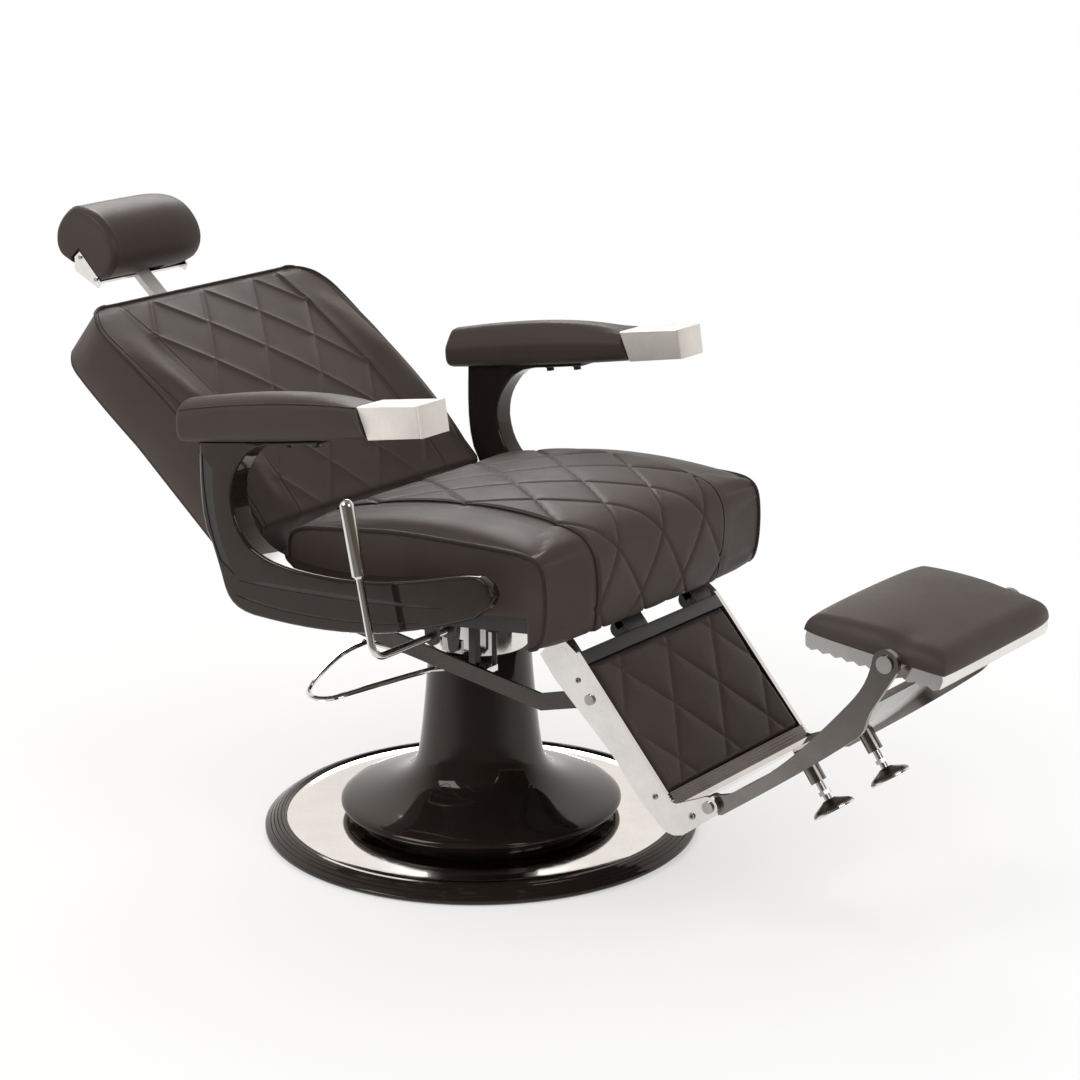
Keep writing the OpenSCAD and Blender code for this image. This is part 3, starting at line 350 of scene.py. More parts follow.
CAST_SKIN, SOFT_GRAIN = (60.0, 500.0, 0.6), (300.0, 1500.0, 0.6)
CHROME = metal("chrome_plate", (0.82, 0.79, 0.76), 0.04, 0.12)
CASTING = metal("polished_casting", (0.46, 0.43, 0.40), 0.14, 0.26, ripple=(40.0, 500.0, 0.6), bump=0.06)
STEEL = metal("turned_steel", (0.48, 0.46, 0.44), 0.2, 0.36, bump=0.05)
BLACK_GLOSS = metal("black_enamel", (0.0165, 0.0120, 0.0098), 0.03, 0.09, metallic=0.0,
                    ripple=(60.0, 700.0, 0.2), gloss=0.36, tint=(1.0, 0.88, 0.79))
CAP_PLATE = metal("satin_plate", (0.80, 0.755, 0.70), 0.34, 0.40, metallic=0.3, bump=0.0, gloss=0.4)
ARM_CASTING = metal("polished_dark_casting", (0.25, 0.228, 0.21), 0.14, 0.26, ripple=CAST_SKIN, bump=0.06)
DARK_CASTING = metal("ground_casting", (0.20, 0.18, 0.165), 0.2, 0.34, ripple=CAST_SKIN, bump=0.08)
BLACK_SATIN = metal("black_powder_coat", (0.03, 0.028, 0.026), 0.32, 0.45, metallic=0.0,
                    ripple=SOFT_GRAIN, bump=0.12)
LINK_STEEL = metal("link_bar_steel", (0.085, 0.074, 0.067), 0.24, 0.36, metallic=0.8, bump=0.06)
RUBBER = metal("black_rubber", (0.018, 0.018, 0.018), 0.5, 0.7, metallic=0.0,
               ripple=(200.0, 900.0, 0.8), bump=0.2)
PLYWOOD = metal("black_stained_board", (0.035, 0.03, 0.027), 0.5, 0.65, metallic=0.0,
                ripple=(90.0, 900.0, 0.8), bump=0.2)
print("hard finishes ready")

# %% [markdown]
# ## Leather
# Upholstery leather is a warm near-black with a fine pebbled grain, a soft sheen and slightly worn, lighter
# high spots. The grain could come from a picture, but a cell pattern with noise keeps sharp at any
# distance and needs no unwrapping. The welts use a darker copy of the same leather: painted shade along the
# seams.

# %% Leather finish
def make_grain_group():
    """Height and tone of leather: pebbles, some creases and slow changes of colour."""
    g, i, o = effect_group("leather_grain", (("Scale", 900.0), ("Crease", 0.5)), ("Height", "Tone"))
    coord = g.nodes.new("ShaderNodeTexCoord")
    cells = node(g, "ShaderNodeTexVoronoi", feature="F1")
    creases = node(g, "ShaderNodeTexNoise", Detail=6.0, Roughness=0.65, Scale=38.0)
    tone = node(g, "ShaderNodeTexNoise", Detail=4.0, Roughness=0.55, Scale=7.0)
    warp = node(g, "ShaderNodeTexNoise", Detail=2.0, Scale=260.0)
    bend = node(g, "ShaderNodeVectorMath", operation="MULTIPLY_ADD")
    bend.inputs[1].default_value = (0.0016, 0.0016, 0.0016)
    here = coord.outputs["Object"]
    wire_up(g, (here, warp.inputs["Vector"]), (warp.outputs["Color"], bend.inputs[0]), (here, bend.inputs[2]),
            (bend.outputs[0], cells.inputs["Vector"]), (i.outputs["Scale"], cells.inputs["Scale"]),
            (here, creases.inputs["Vector"]), (here, tone.inputs["Vector"]))
    pebble = math_node(g, "SUBTRACT", 1.0, math_node(g, "POWER", cells.outputs["Distance"], 1.6))
    folds = math_node(g, "MULTIPLY", creases.outputs["Fac"], i.outputs["Crease"])
    height = math_node(g, "ADD", pebble, folds)
    wire_up(g, (height, o.inputs["Height"]), (tone.outputs["Fac"], o.inputs["Tone"]))
    return g


GRAIN = make_grain_group()


def leather(name, color, light, low, high):
    """A leather finish between two colours, with its least and most roughness."""
    m, tree, bsdf = new_material(name)
    grain = tree.nodes.new("ShaderNodeGroup")
    grain.node_tree = GRAIN
    grain.inputs["Scale"].default_value = 620.0
    grain.inputs["Crease"].default_value = 0.8
    smudge = tree.nodes.new("ShaderNodeGroup")
    smudge.node_tree = SMUDGES
    smudge.inputs["Scale"].default_value = 6.0
    smudge.inputs["Low"].default_value = low
    smudge.inputs["High"].default_value = high
    mix = node(tree, "ShaderNodeMix", data_type="RGBA")
    mix.inputs[6].default_value = (*color, 1)
    mix.inputs[7].default_value = (*light, 1)
    bumps = node(tree, "ShaderNodeBump", Strength=0.16, Distance=0.0006)
    bsdf.inputs["Specular IOR Level"].default_value = 0.15
    bsdf.inputs["Sheen Weight"].default_value = 0.03
    bsdf.inputs["Sheen Roughness"].default_value = 0.4
    wire_up(tree, (grain.outputs["Tone"], mix.inputs[0]), (mix.outputs[2], bsdf.inputs["Base Color"]),
            (grain.outputs["Height"], bumps.inputs["Height"]),
            (bumps.outputs["Normal"], bsdf.inputs["Normal"]),
            (smudge.outputs["Roughness"], bsdf.inputs["Roughness"]))
    return m


LEATHER = leather("upholstery_leather", (0.045, 0.0325, 0.0275), (0.066, 0.0500, 0.0435), 0.40, 0.52)
# The welts' and stitches' darker colour is painted shade for the shadow that lies along the seams.
SEAM_SHADE_LEATHER = leather("welt_leather_painted_shade", (0.024, 0.018, 0.0155), (0.036, 0.028, 0.025), 0.4, 0.5)
print("leather ready")

# %% Give every part its finish
FINISH_OF = {
    "chrome": CHROME, "polished_alu": CASTING, "steel": STEEL, "black_gloss": BLACK_GLOSS,
    "black_paint": BLACK_SATIN, "link_steel": LINK_STEEL, "rubber_black": RUBBER, "board": PLYWOOD,
    "leather": LEATHER,
}
slot_of = {p["node"]: p["material_slot"] for p in frame["record"]["subparts"]}
for name, o in nodes.items():
    finish = FINISH_OF[slot_of[name]]
    if not o.material_slots:
        o.data.materials.append(finish)
    for s in o.material_slots:
        s.material = finish
print("finishes on", len(nodes), "nodes")

# %% [markdown]
# ## Rigid parts, smoothed
# The construction comes as flat facets. A copy of each part has its seams merged and its curved faces
# shaded smooth, while edges sharper than the given angle stay crisp. The copy takes the part's place.

# %% Smooth copies
MM = 0.001


def joint_at(name):
    """Where a hinge sits, in metres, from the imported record."""
    return next(j["pos_m"] for j in frame["record"]["behaviour"]["joints"] if j["name"] == name)


def body_name(name):
    """The body that a node moves with."""
    return next(b for b, empty in frame["bodies"].items() if empty == nodes[name].parent)


def edit(piece, *steps):
    """Runs mesh operators on the whole of one piece."""
    alone(piece)
    bpy.ops.object.mode_set(mode="EDIT")
    bpy.ops.mesh.select_all(action="SELECT")
    for step in steps:
        step()
    bpy.ops.object.mode_set(mode="OBJECT")


def even_normals():
    """Merges the seams of the selected mesh and turns all its faces outwards."""
    bpy.ops.mesh.remove_doubles(threshold=0.00001)
    bpy.ops.mesh.normals_make_consistent(inside=False)


def round_shade(piece, angle=34):
    """Shades a piece smooth, but for edges sharper than the angle."""
    alone(piece)
    bpy.ops.object.shade_smooth_by_angle(angle=math.radians(angle))


def copy_of(name):
    """A copy of a node in the shared frame, its seams merged, to be worked on."""
    piece = nodes[name].copy()
    piece.data = nodes[name].data.copy()
    piece.parent = None
    piece.matrix_world = Matrix.Identity(4)
    piece.name = name + "_fine"
    scene.collection.objects.link(piece)
    if piece.data.has_custom_normals:
        alone(piece)
        bpy.ops.mesh.customdata_custom_splitnormals_clear()
    edit(piece, even_normals)
    return piece


def even_shade(piece):
    """Normals that follow the large faces, so that a narrow rounded edge doesn't bend their reflections."""
    weigh = piece.modifiers.new("weigh", "WEIGHTED_NORMAL")
    weigh.keep_sharp = True
    weigh.weight = 90
    alone(piece)
    bpy.ops.object.modifier_apply(modifier=weigh.name)


def take_place(piece, name, finish=None, angle=34, even=False):
    """Puts a finished piece in the place of one node."""
    round_shade(piece, angle)
    if even:
        even_shade(piece)
    if finish:
        piece.data.materials.clear()
        piece.data.materials.append(finish)
    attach(piece, body_name(name))
    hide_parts(name)
    return piece


SMOOTHED = ("base_disc", "base_mirror", "column_sleeve", "lift_ram", "pump_cylinder", "swivel_hub",
            "arm_spacers", "back_hinge_pins", "back_straps", "lock_sector", "head_guide", "link_pin",
            "link_bar", "leg_lip", "link_front_pin", "fold_pins", "foot_stem_left", "foot_stem_right",
            "tray_pins", "hand_lever", "hand_grip", "release_rod", "pedal_loop")
PAINTED = ("pump_plunger", "pump_block", "release_crank", "pump_gland", "column_head", "arm_bolts")
PLATED = ("armcap_left", "armcap_right", "cap_faces", "head_bar")
for name in SMOOTHED:
    take_place(copy_of(name), name)
for name in PAINTED:
    take_place(copy_of(name), name, BLACK_SATIN)
for name in PLATED:
    take_place(copy_of(name), name, CAP_PLATE)
take_place(copy_of("leg_strip"), "leg_strip", DARK_CASTING)
take_place(copy_of("swing_frame"), "swing_frame", ARM_CASTING)
print("smoothed", len(SMOOTHED + PAINTED + PLATED) + 2)

# %% [markdown]
# ## Trumpet cover
# The column's cover is spun from sheet metal: a low, concave flare with a rolled lip, and a long neck.
# A lathe makes the same form, and here one ring is extruded and scaled again and again.

# %% Trumpet cover
def turned(name, profile, finish, sides=128):
    """A turned piece from points of radius and height in millimetres, closed back to its first ring."""
    deselect()
    r, z = profile[0]
    bpy.ops.mesh.primitive_circle_add(vertices=sides, radius=r * MM, location=(0, 0, z * MM))
    piece = bpy.context.object
    piece.name = name
    bpy.ops.object.mode_set(mode="EDIT")
    bpy.ops.mesh.select_all(action="SELECT")
    for r1, z1 in profile[1:] + profile[:1]:
        bpy.ops.mesh.extrude_region_move(TRANSFORM_OT_translate={"value": (0, 0, (z1 - z) * MM)})
        bpy.ops.transform.resize(value=(r1 / r, r1 / r, 1), center_override=(0, 0, z1 * MM))
        r, z = r1, z1
    bpy.ops.mesh.select_all(action="SELECT")
    bpy.ops.mesh.remove_doubles(threshold=0.00001)
    bpy.ops.mesh.normals_make_consistent(inside=False)
    bpy.ops.object.mode_set(mode="OBJECT")
    bpy.ops.object.transform_apply(location=True, rotation=True, scale=True)
    piece.data.materials.append(finish)
    return piece


BELL = (
    (190, 21.5), (190, 34), (208, 39.5), (211.5, 37.6), (215.5, 36.6), (218.6, 38), (220.4, 41.4),
    (219.6, 45), (216, 48), (208, 51.2), (196, 55), (180, 59.6), (164, 64.4), (150, 69), (136, 74.8),
    (124, 81.4), (114, 89), (106.5, 98), (101.4, 108), (97.8, 120), (95, 135), (92, 158), (89, 185),
    (86, 215), (83.4, 245), (81.2, 275), (80, 294), (79.2, 297), (77.6, 297), (77.6, 270), (81, 235),
    (86, 190), (91, 145), (95.5, 116), (102, 98), (111, 86), (123, 77.5), (137, 70.5), (156, 63.4),
    (176, 56), (184, 48), (187, 40), (187, 21.5))
bell = take_place(turned("trumpet_cover_spun", BELL, BLACK_GLOSS), "trumpet_cover", angle=50)
print("trumpet cover", len(bell.data.vertices), "points")

# %% [markdown]
# ## Legrest hinge
# The legrest hangs from the seat's frame on a line of stub pins. Its black header lies against the
# cushion, and three straps reach up from it to stub pins, so that daylight shows between header and
# seat. The side plates run up past the pins, behind the seat's corner, and the pins are ground flush
# with them. Each is a block or rod with softened edges, and the three kinds are joined into one part.

# %% Legrest hinge parts
LEG_SLOPE = math.radians(48.5)
leg_hinge = joint_at("legrest_raise")


def in_leg(n, y, a):
    """Point in metres from the legrest's own axes in millimetres: N out of its face, A down along it."""
    n, y, a = np.broadcast_arrays(n, y, a)
    x = leg_hinge[0] + (n * math.sin(LEG_SLOPE) + a * math.cos(LEG_SLOPE)) * MM
    z = leg_hinge[2] + (n * math.cos(LEG_SLOPE) - a * math.sin(LEG_SLOPE)) * MM
    return np.stack([x, y * MM, z], -1)


def leg_block(n0, n1, y0, y1, a0, a1, bevel=1.2):
    """A block with softened edges, on the legrest's axes."""
    deselect()
    middle = in_leg((n0 + n1) / 2, (y0 + y1) / 2, (a0 + a1) / 2)
    bpy.ops.mesh.primitive_cube_add(size=1, location=middle, rotation=(0, LEG_SLOPE - math.pi / 2, 0),
                                    scale=((n1 - n0) * MM, (y1 - y0) * MM, (a1 - a0) * MM))
    block = bpy.context.object
    bpy.ops.object.transform_apply(location=True, rotation=True, scale=True)
    edit(block, lambda: bpy.ops.mesh.bevel(offset=bevel * MM, segments=3, affect="EDGES"))
    return block


def leg_cylinder(n, a, radius, y0, y1, sides=40):
    """A rod across the chair, on the legrest's axes."""
    deselect()
    bpy.ops.mesh.primitive_cylinder_add(vertices=sides, radius=radius * MM, depth=abs(y1 - y0) * MM,
                                        location=in_leg(n, (y0 + y1) / 2, a), rotation=(math.pi / 2, 0, 0))
    rod = bpy.context.object
    bpy.ops.object.transform_apply(location=True, rotation=True, scale=True)
    return rod


def joined(name, pieces, finish):
    """One object made of several, in one finish."""
    deselect()
    for piece in pieces:
        piece.select_set(True)
    bpy.context.view_layer.objects.active = pieces[0]
    if len(pieces) > 1:
        bpy.ops.object.join()
    whole = bpy.context.view_layer.objects.active
    whole.name = name
    whole.data.materials.clear()
    whole.data.materials.append(finish)
    return whole


STRAPS = ((-50, 0), (-176, -166), (128, 176))
STUBS = ((-184.1, -167), (-48, -2), (130, 184.1))
header = [leg_block(5, 21, -176, 176, 13, 34.2, 1.5)]
for y0, y1 in STRAPS:
    header.append(leg_block(9, 17, y0, y1, -9, 16, 1.0))
    header.append(leg_cylinder(0, 0, 12.5, y0, y1))
    header.append(leg_block(0, 16, y0, y1, -11, 2, 1.0))
take_place(joined("leg_header_bar", header, BLACK_SATIN), "leg_header")
stubs = [leg_cylinder(0, 0, 7.9, y0, y1) for y0, y1 in STUBS]
take_place(joined("leg_hinge_stubs", stubs, CHROME), "leg_hinge_pin")
print("legrest header and pins")


# %% Side plates and seat frame
def select_where(piece, test):
    """Selects the vertices for which test(point in millimetres) holds, for the next operator."""
    alone(piece)
    bpy.ops.object.mode_set(mode="EDIT")
    bpy.ops.mesh.select_all(action="DESELECT")
    bpy.ops.mesh.select_mode(type="VERT")
    bpy.ops.object.mode_set(mode="OBJECT")
    hit = [bool(test(v.co / MM)) for v in piece.data.vertices]
    piece.data.vertices.foreach_set("select", hit)
    bpy.ops.object.mode_set(mode="EDIT")
    return sum(hit)


def shift_where(piece, test, move):
    """Moves the vertices for which the test holds, by millimetres."""
    count = select_where(piece, test)
    if count:
        bpy.ops.transform.translate(value=[m * MM for m in move])
    bpy.ops.object.mode_set(mode="OBJECT")
    return count


def in_leg_axes(p):
    """N and A of a point in millimetres, the reverse of in_leg."""
    dx, dz = p[0] - leg_hinge[0] / MM, p[2] - leg_hinge[2] / MM
    s, c = math.sin(LEG_SLOPE), math.cos(LEG_SLOPE)
    return dx * s + dz * c, dx * c - dz * s


def near_corner(n, a):
    """A test for points close to one corner of the side plates."""
    return lambda p: math.dist(in_leg_axes(p), (n, a)) < 2.5


PLATE_CORNERS = ((-24, -14, -37, -20), (-6, -17, -4, -25), (12, -9, 15, -10), (18, 10, 20.5, 12))
plates = copy_of("leg_plates")
origin = in_leg(0, 0, 0) / MM
for n, a, n1, a1 in PLATE_CORNERS:
    move = in_leg(n1 - n, 0, a1 - a) / MM - origin
    print("plate corner", shift_where(plates, near_corner(n, a), move), "points")
take_place(plates, "leg_plates")
seat_rails = copy_of("seat_frame")


def outer_lug(p):
    """The front lugs of the seat frame outside the side plates."""
    return 240 < p[0] < 325 and 184 < abs(p[1]) < 196 and p[2] < 433


print("lug points", select_where(seat_rails, outer_lug))
bpy.ops.transform.resize(value=(1, 1, 0.02), center_override=(0, 0, 0.4335))
bpy.ops.object.mode_set(mode="OBJECT")
take_place(seat_rails, "seat_frame")

# %% Socket screws in the plates
# The screws are socket heads: a low cylinder, with a black hexagon on its face as painted shade for the
# socket's recess.
PLATE_SCREWS = ((-4, 45, 4.2), (-2, 79, 6.5), (0.6, 244, 4.2), (38, 297, 5.2))
heads, socket_shades = [], []
for n, a, radius in PLATE_SCREWS:
    for sign in (-1, 1):
        head = leg_cylinder(n, a, radius, sign * 183.5, sign * 186)
        edit(head, lambda: bpy.ops.mesh.bevel(offset=0.0005, segments=2, affect="EDGES"))
        heads.append(head)
        # The black hexagon on each head is painted shade for its socket.
        socket_shades.append(leg_cylinder(n, a, radius * 0.55, sign * 185, sign * 186.15, sides=6))
take_place(joined("leg_screw_heads", heads, STEEL), "leg_screws")
trim(joined("leg_screw_socket_shades", socket_shades, BLACK_SATIN), "legrest")
print("plate screws", len(heads))

# %% [markdown]
# ## Footrest tray and feet
# The tray hangs a little below its pins. Each levelling foot is a cast cone with a bright
# turned flange, on a threaded stem.

# %% Tray and levelling feet
TRAY_NOSE_DOWN, TRAY_DROP = 0.4, 12.0
tray_hinge = joint_at("footpad_flip")
tray = copy_of("foot_tray")
edit(tray, lambda: bpy.ops.transform.rotate(value=math.radians(-TRAY_NOSE_DOWN), orient_axis="Y",
                                            center_override=tray_hinge),
     lambda: bpy.ops.transform.translate(value=(0, 0, -TRAY_DROP * MM)))
take_place(tray, "foot_tray")
FOOT_X, FOOT_Y, FOOT_Z, FOOT_LEAN = 690.0, 78.0, 202.0, math.radians(-36)
FLANGE_RADIUS, FLANGE_DEPTH = 31.6, 3.6
flange_x = FOOT_X + FLANGE_DEPTH / 2 * math.sin(FOOT_LEAN)
flange_z = FOOT_Z + FLANGE_DEPTH / 2 * math.cos(FOOT_LEAN)
for side_name, sign in (("left", 1), ("right", -1)):
    take_place(copy_of("foot_glide_" + side_name), "foot_glide_" + side_name, DARK_CASTING)
    deselect()
    bpy.ops.mesh.primitive_cylinder_add(vertices=64, radius=FLANGE_RADIUS * MM, depth=FLANGE_DEPTH * MM,
                                        rotation=(0, FOOT_LEAN, 0),
                                        location=(flange_x * MM, sign * FOOT_Y * MM, flange_z * MM))
    flange = bpy.context.object
    flange.name = "foot_flange_" + side_name
    bpy.ops.object.transform_apply(location=True, rotation=True, scale=True)
    edit(flange, lambda: bpy.ops.mesh.bevel(offset=0.0008, segments=2, affect="EDGES"))
    flange.data.materials.append(CHROME)
    round_shade(flange)
    trim(flange, body_name("foot_glide_" + side_name))
print("tray and feet ready")

# %% [markdown]
# ## Arm castings
# Each arm is one black casting. Towards the tip of its lower rail it thins from the inside, and shallow
# channels are sunk in its outer face. A dark satin lining on the channel faces is painted shade for these
# recesses.

# %% Arms
THINNER_FROM = ((130, 4), (170, 5), (205, 6), (240, 6))
TIP_FROM, TIP_SHORTER, RAIL_TOP, ARM_MIDDLE, CHANNEL_AT = 270, 7, 560, 322, 338.5
for side_name, sign in (("right", -1), ("left", 1)):
    arm = copy_of("arm_" + side_name)
    for x, out in THINNER_FROM:
        shift_where(arm, lambda p: p[0] > x and abs(p[1]) < ARM_MIDDLE and p[2] < RAIL_TOP, (0, sign * out, 0))
    shift_where(arm, lambda p: p[0] > TIP_FROM and p[2] < RAIL_TOP, (-TIP_SHORTER, 0, 0))
    # The channel faces are copied as a dark satin lining: painted shade for the recesses.
    channel_shade = arm.copy()
    channel_shade.data = arm.data.copy()
    channel_shade.name = "arm_channel_shade_" + side_name
    scene.collection.objects.link(channel_shade)
    take_place(arm, "arm_" + side_name, angle=60, even=True)
    select_where(channel_shade, lambda p: abs(abs(p[1]) - CHANNEL_AT) > 0.2)
    bpy.ops.mesh.delete(type="VERT")
    bpy.ops.mesh.select_all(action="SELECT")
    bpy.ops.transform.translate(value=(0, sign * 0.0002, 0))
    bpy.ops.object.mode_set(mode="OBJECT")
    channel_shade.data.materials.clear()
    channel_shade.data.materials.append(BLACK_SATIN)
    trim(channel_shade, "seat")
    print("arm", side_name, "channel faces", len(channel_shade.data.polygons))

# %% [markdown]
# ## How the upholstery is made
# A sewn cushion is a sheet of leather over foam: it swells between its seams and dips at every stitch line.
# One could sculpt it, or displace a box. Here each cushion is a grid of points that follows the cover as it
# is cut: rows run along it and columns run across it, so the seams are exact lines of the grid. A coarse
# copy of the grid is blown up as cloth, with the seams pinned, and its swelling is carried back to the
# fine grid. The stitched grooves are pressed in last, along the surface's own normals.

# %% Grid helpers
def grid_faces(rows, cols, wrap):
    """Four corners of every cell of a grid; a wrapped grid closes on itself across its rows."""
    i, j = np.meshgrid(np.arange(rows - 1), np.arange(cols if wrap else cols - 1), indexing="ij")
    k = (j + 1) % cols
    return np.stack([i * cols + j, i * cols + k, (i + 1) * cols + k, (i + 1) * cols + j], -1).reshape(-1, 4)


def welded(grid, wrap=True, tolerance=2e-5):
    """Vertices, faces and the vertex number of every grid point, with coincident points made one."""
    rows, cols = grid.shape[:2]
    flat = grid.reshape(-1, 3)
    steps = np.round(flat / tolerance).astype(np.int64)
    keys, first, number = np.unique(steps, axis=0, return_index=True, return_inverse=True)
    number = number.ravel()
    faces = []
    for q in number[grid_faces(rows, cols, wrap)]:
        f = [int(v) for n, v in enumerate(q) if v != q[n - 1]]
        if len(set(f)) > 2:
            faces.append(f)
    return flat[first], faces, number


def mesh_object(name, vertices, faces, material, smooth=True):
    """A new object from vertices and faces, in one finish."""
    mesh = bpy.data.meshes.new(name)
    mesh.from_pydata([tuple(map(float, v)) for v in vertices], [], faces)
    mesh.validate()
    mesh.update()
    if smooth:
        mesh.polygons.foreach_set("use_smooth", [True] * len(mesh.polygons))
    mesh.materials.append(material)
    o = bpy.data.objects.new(name, mesh)
    scene.collection.objects.link(o)
    return o


def grid_normals(grid, wrap=True):
    """Unit normals of a grid of points, from the points on either side."""
    du = np.gradient(grid, axis=0)
    if wrap:
        dv = (np.roll(grid, -1, 1) - np.roll(grid, 1, 1)) / 2
    else:
        dv = np.gradient(grid, axis=1)
    n = np.cross(dv, du)
    return n / np.maximum(np.linalg.norm(n, axis=-1, keepdims=True), 1e-12)


def blow_up(grid, pinned, pressure=4.0, cap=0.008, wrap=True, step=2):
    """How far every grid point moves when the cover is blown up as cloth with the pinned points held."""
    coarse = grid[::step, ::step]
    vertices, faces, number = welded(coarse, wrap)
    o = mesh_object("swelling", vertices, faces, PLYWOOD)
    held = np.zeros(len(vertices), bool)
    held[number[pinned[::step, ::step].ravel()]] = True
    group = o.vertex_groups.new(name="held")
    group.add([int(v) for v in np.nonzero(held)[0]], 1.0, "REPLACE")
    cloth = o.modifiers.new("swell", "CLOTH")
    cloth.settings.quality = 4
    cloth.settings.mass = 0.4
    cloth.settings.tension_stiffness = 12
    cloth.settings.compression_stiffness = 3
    cloth.settings.shrink_min = 0.02
    cloth.settings.bending_stiffness = 2
    cloth.settings.vertex_group_mass = "held"
    cloth.settings.use_pressure = True
    cloth.settings.uniform_pressure_force = pressure
    cloth.settings.effector_weights.gravity = 0
    cloth.collision_settings.use_collision = False
    cloth.point_cache.frame_start = 1
    cloth.point_cache.frame_end = 20
    for frame_number in range(1, 21):
        scene.frame_set(frame_number)
    swollen = o.evaluated_get(bpy.context.evaluated_depsgraph_get()).to_mesh()
    after = np.empty(len(swollen.vertices) * 3)
    swollen.vertices.foreach_get("co", after)
    after = after.reshape(-1, 3)
    scene.frame_set(1)
    bpy.data.objects.remove(o)
    move = after - vertices
    length = np.linalg.norm(move, axis=1, keepdims=True)
    move *= np.minimum(1, cap / np.maximum(length, 1e-9))
    move = move[number].reshape(coarse.shape)
    for axis, size in ((0, grid.shape[0]), (1, grid.shape[1])):
        at = np.minimum(np.arange(size) / step, move.shape[axis] - 1)
        low = np.floor(at).astype(int)
        high = np.minimum(low + 1, move.shape[axis] - 1)
        part = (at - low).reshape((-1, 1, 1) if axis == 0 else (1, -1, 1))
        move = np.take(move, low, axis) * (1 - part) + np.take(move, high, axis) * part
    print("swelling up to", round(float(length.max()) * 1000, 1), "mm")
    return move


def seam_dip(distance, width):
    """Depth of a stitched groove, from 0 far away to 1 on the seam."""
    return np.exp(-(distance / width) ** 2)


def quilt_distance(u, y, start, length, width):
    """Distance in metres from the nearest line of the diamond quilting."""
    p = (u - start) / length
    q = y / width
    slope = 1 / np.sqrt(1 / length ** 2 + 1 / width ** 2)
    a = np.abs(p - q - np.round(p - q))
    b = np.abs(p + q - np.round(p + q))
    return np.minimum(a, b) * slope


def tube(name, path, radius, material, sides=10):
    """A round welt along a path of points."""
    path = np.asarray(path)
    n = len(path)
    ahead = np.gradient(path, axis=0)
    ahead /= np.linalg.norm(ahead, axis=1, keepdims=True)
    side = np.cross(ahead[0], (0.3, 0.5, 0.8))
    rings = []
    for i in range(n):
        side = side - ahead[i] * side.dot(ahead[i])
        side /= np.linalg.norm(side)
        other = np.cross(ahead[i], side)
        a = np.arange(sides) * 2 * math.pi / sides
        rings.append(path[i] + radius * (np.cos(a)[:, None] * side + np.sin(a)[:, None] * other))
    vertices = np.concatenate(rings)
    faces = []
    for i in range(n - 1):
        for k in range(sides):
            after = (k + 1) % sides
            faces.append([i * sides + k, i * sides + after, (i + 1) * sides + after, (i + 1) * sides + k])
    faces.append(list(range(sides - 1, -1, -1)))
    faces.append([(n - 1) * sides + k for k in range(sides)])
    return mesh_object(name, vertices, faces, material)


def smooth_path(points, count):
    """Points spaced evenly along a smooth curve through the given points."""
    p = np.asarray(points, float)
    q = np.concatenate([[2 * p[0] - p[1]], p, [2 * p[-1] - p[-2]]])
    out = []
    for i in range(len(p) - 1):
        a, b, c, d = q[i:i + 4]
        square, cube = 2 * a - 5 * b + 4 * c - d, 3 * b - a - 3 * c + d
        for t in np.arange(24) / 24:
            out.append(0.5 * (2 * b + (c - a) * t + square * t * t + cube * t ** 3))
    out = np.array(out + [p[-1]])
    length = np.concatenate([[0], np.cumsum(np.linalg.norm(np.diff(out, axis=0), axis=1))])
    at = np.linspace(0, length[-1], count)
    return np.stack([np.interp(at, length, out[:, k]) for k in range(p.shape[1])], 1)


def sheet_pad(name, skin):
    """A crowned sheet of leather, closed by one flat face below its border."""
    rows, cols = skin.shape[:2]
    border = list(range(cols)) + [r * cols + cols - 1 for r in range(1, rows)]
    border += [(rows - 1) * cols + k for k in range(cols - 2, -1, -1)]
    border += [r * cols for r in range(rows - 2, 0, -1)]
    faces = [[int(k) for k in q] for q in grid_faces(rows, cols, False)]
    return mesh_object(name, skin.reshape(-1, 3), faces + [border[::-1]], LEATHER)


print("grid helpers ready")

# %% [markdown]
# ## Seat cushion
# The seat is a box cushion with a quilted middle that runs over the front edge, two plain bolsters beside
# it and flat sides, all joined by welted seams. Its rows run from the rear up over the top and down the
# front. Its columns run across: up one side, over a bolster, across the quilting and down again. Each
# station below gives the long seam, the side welt and the base under it, as X and Z in millimetres.

# %% Seat stations
SEAT_HALF = 274.0


def seat_base(x):
    """Height of the flat side's lower edge, along the seat's sloping frame."""
    return 434.5 - math.tan(math.radians(6)) * (300 - x) + 21.4


SEAT_REAR = [
    (-134, 410.3, -134, 410.3, -134, 410.3), (-141, 440, -140, 440, -134, 410.3),
    (-144, 475, -142.5, 470, -134, 410.3), (-142, 505, -142, 499.5, -134, 410.3),
    (-133, 524, -134, 514, -130, 410.7), (-112, 536.5, -113, 523, -110, 412.8)]
SEAT_TOP = [
    (-80, 547, -80, 528.5), (-40, 557, -35, 534), (0, 565, 5, 539), (40, 571.4, 45, 544), (80, 576, 85, 547),
    (120, 579, 122, 548.6), (165, 580.2, 165, 549.7), (205, 579.2, 206, 550.9), (240, 576.6, 242, 551.6),
    (270, 573, 271, 551.6), (295, 568, 295, 550.5), (316, 559.5, 311, 547)]
SEAT_FRONT = [
    (329, 547, 322, 540, 296.6, 452), (337.5, 531, 328, 529, 297, 447), (341, 513, 331, 512, 297.2, 440),
    (342, 490, 332, 490, 297.4, 433), (341, 465, 331, 465, 297.5, 428), (338, 443, 328, 443, 297.5, 424),
    (334, 426, 323, 427, 297.6, 420), (329, 417, 315, 418, 297.6, 418),
    (320, 415.4, 305, 415.4, 297.6, 416.4), (297.6, 415.4, 297.6, 415.4, 297.6, 415.4)]
SEAT_TOP = [row + (min(row[2], 296), seat_base(min(row[2], 296))) for row in SEAT_TOP]
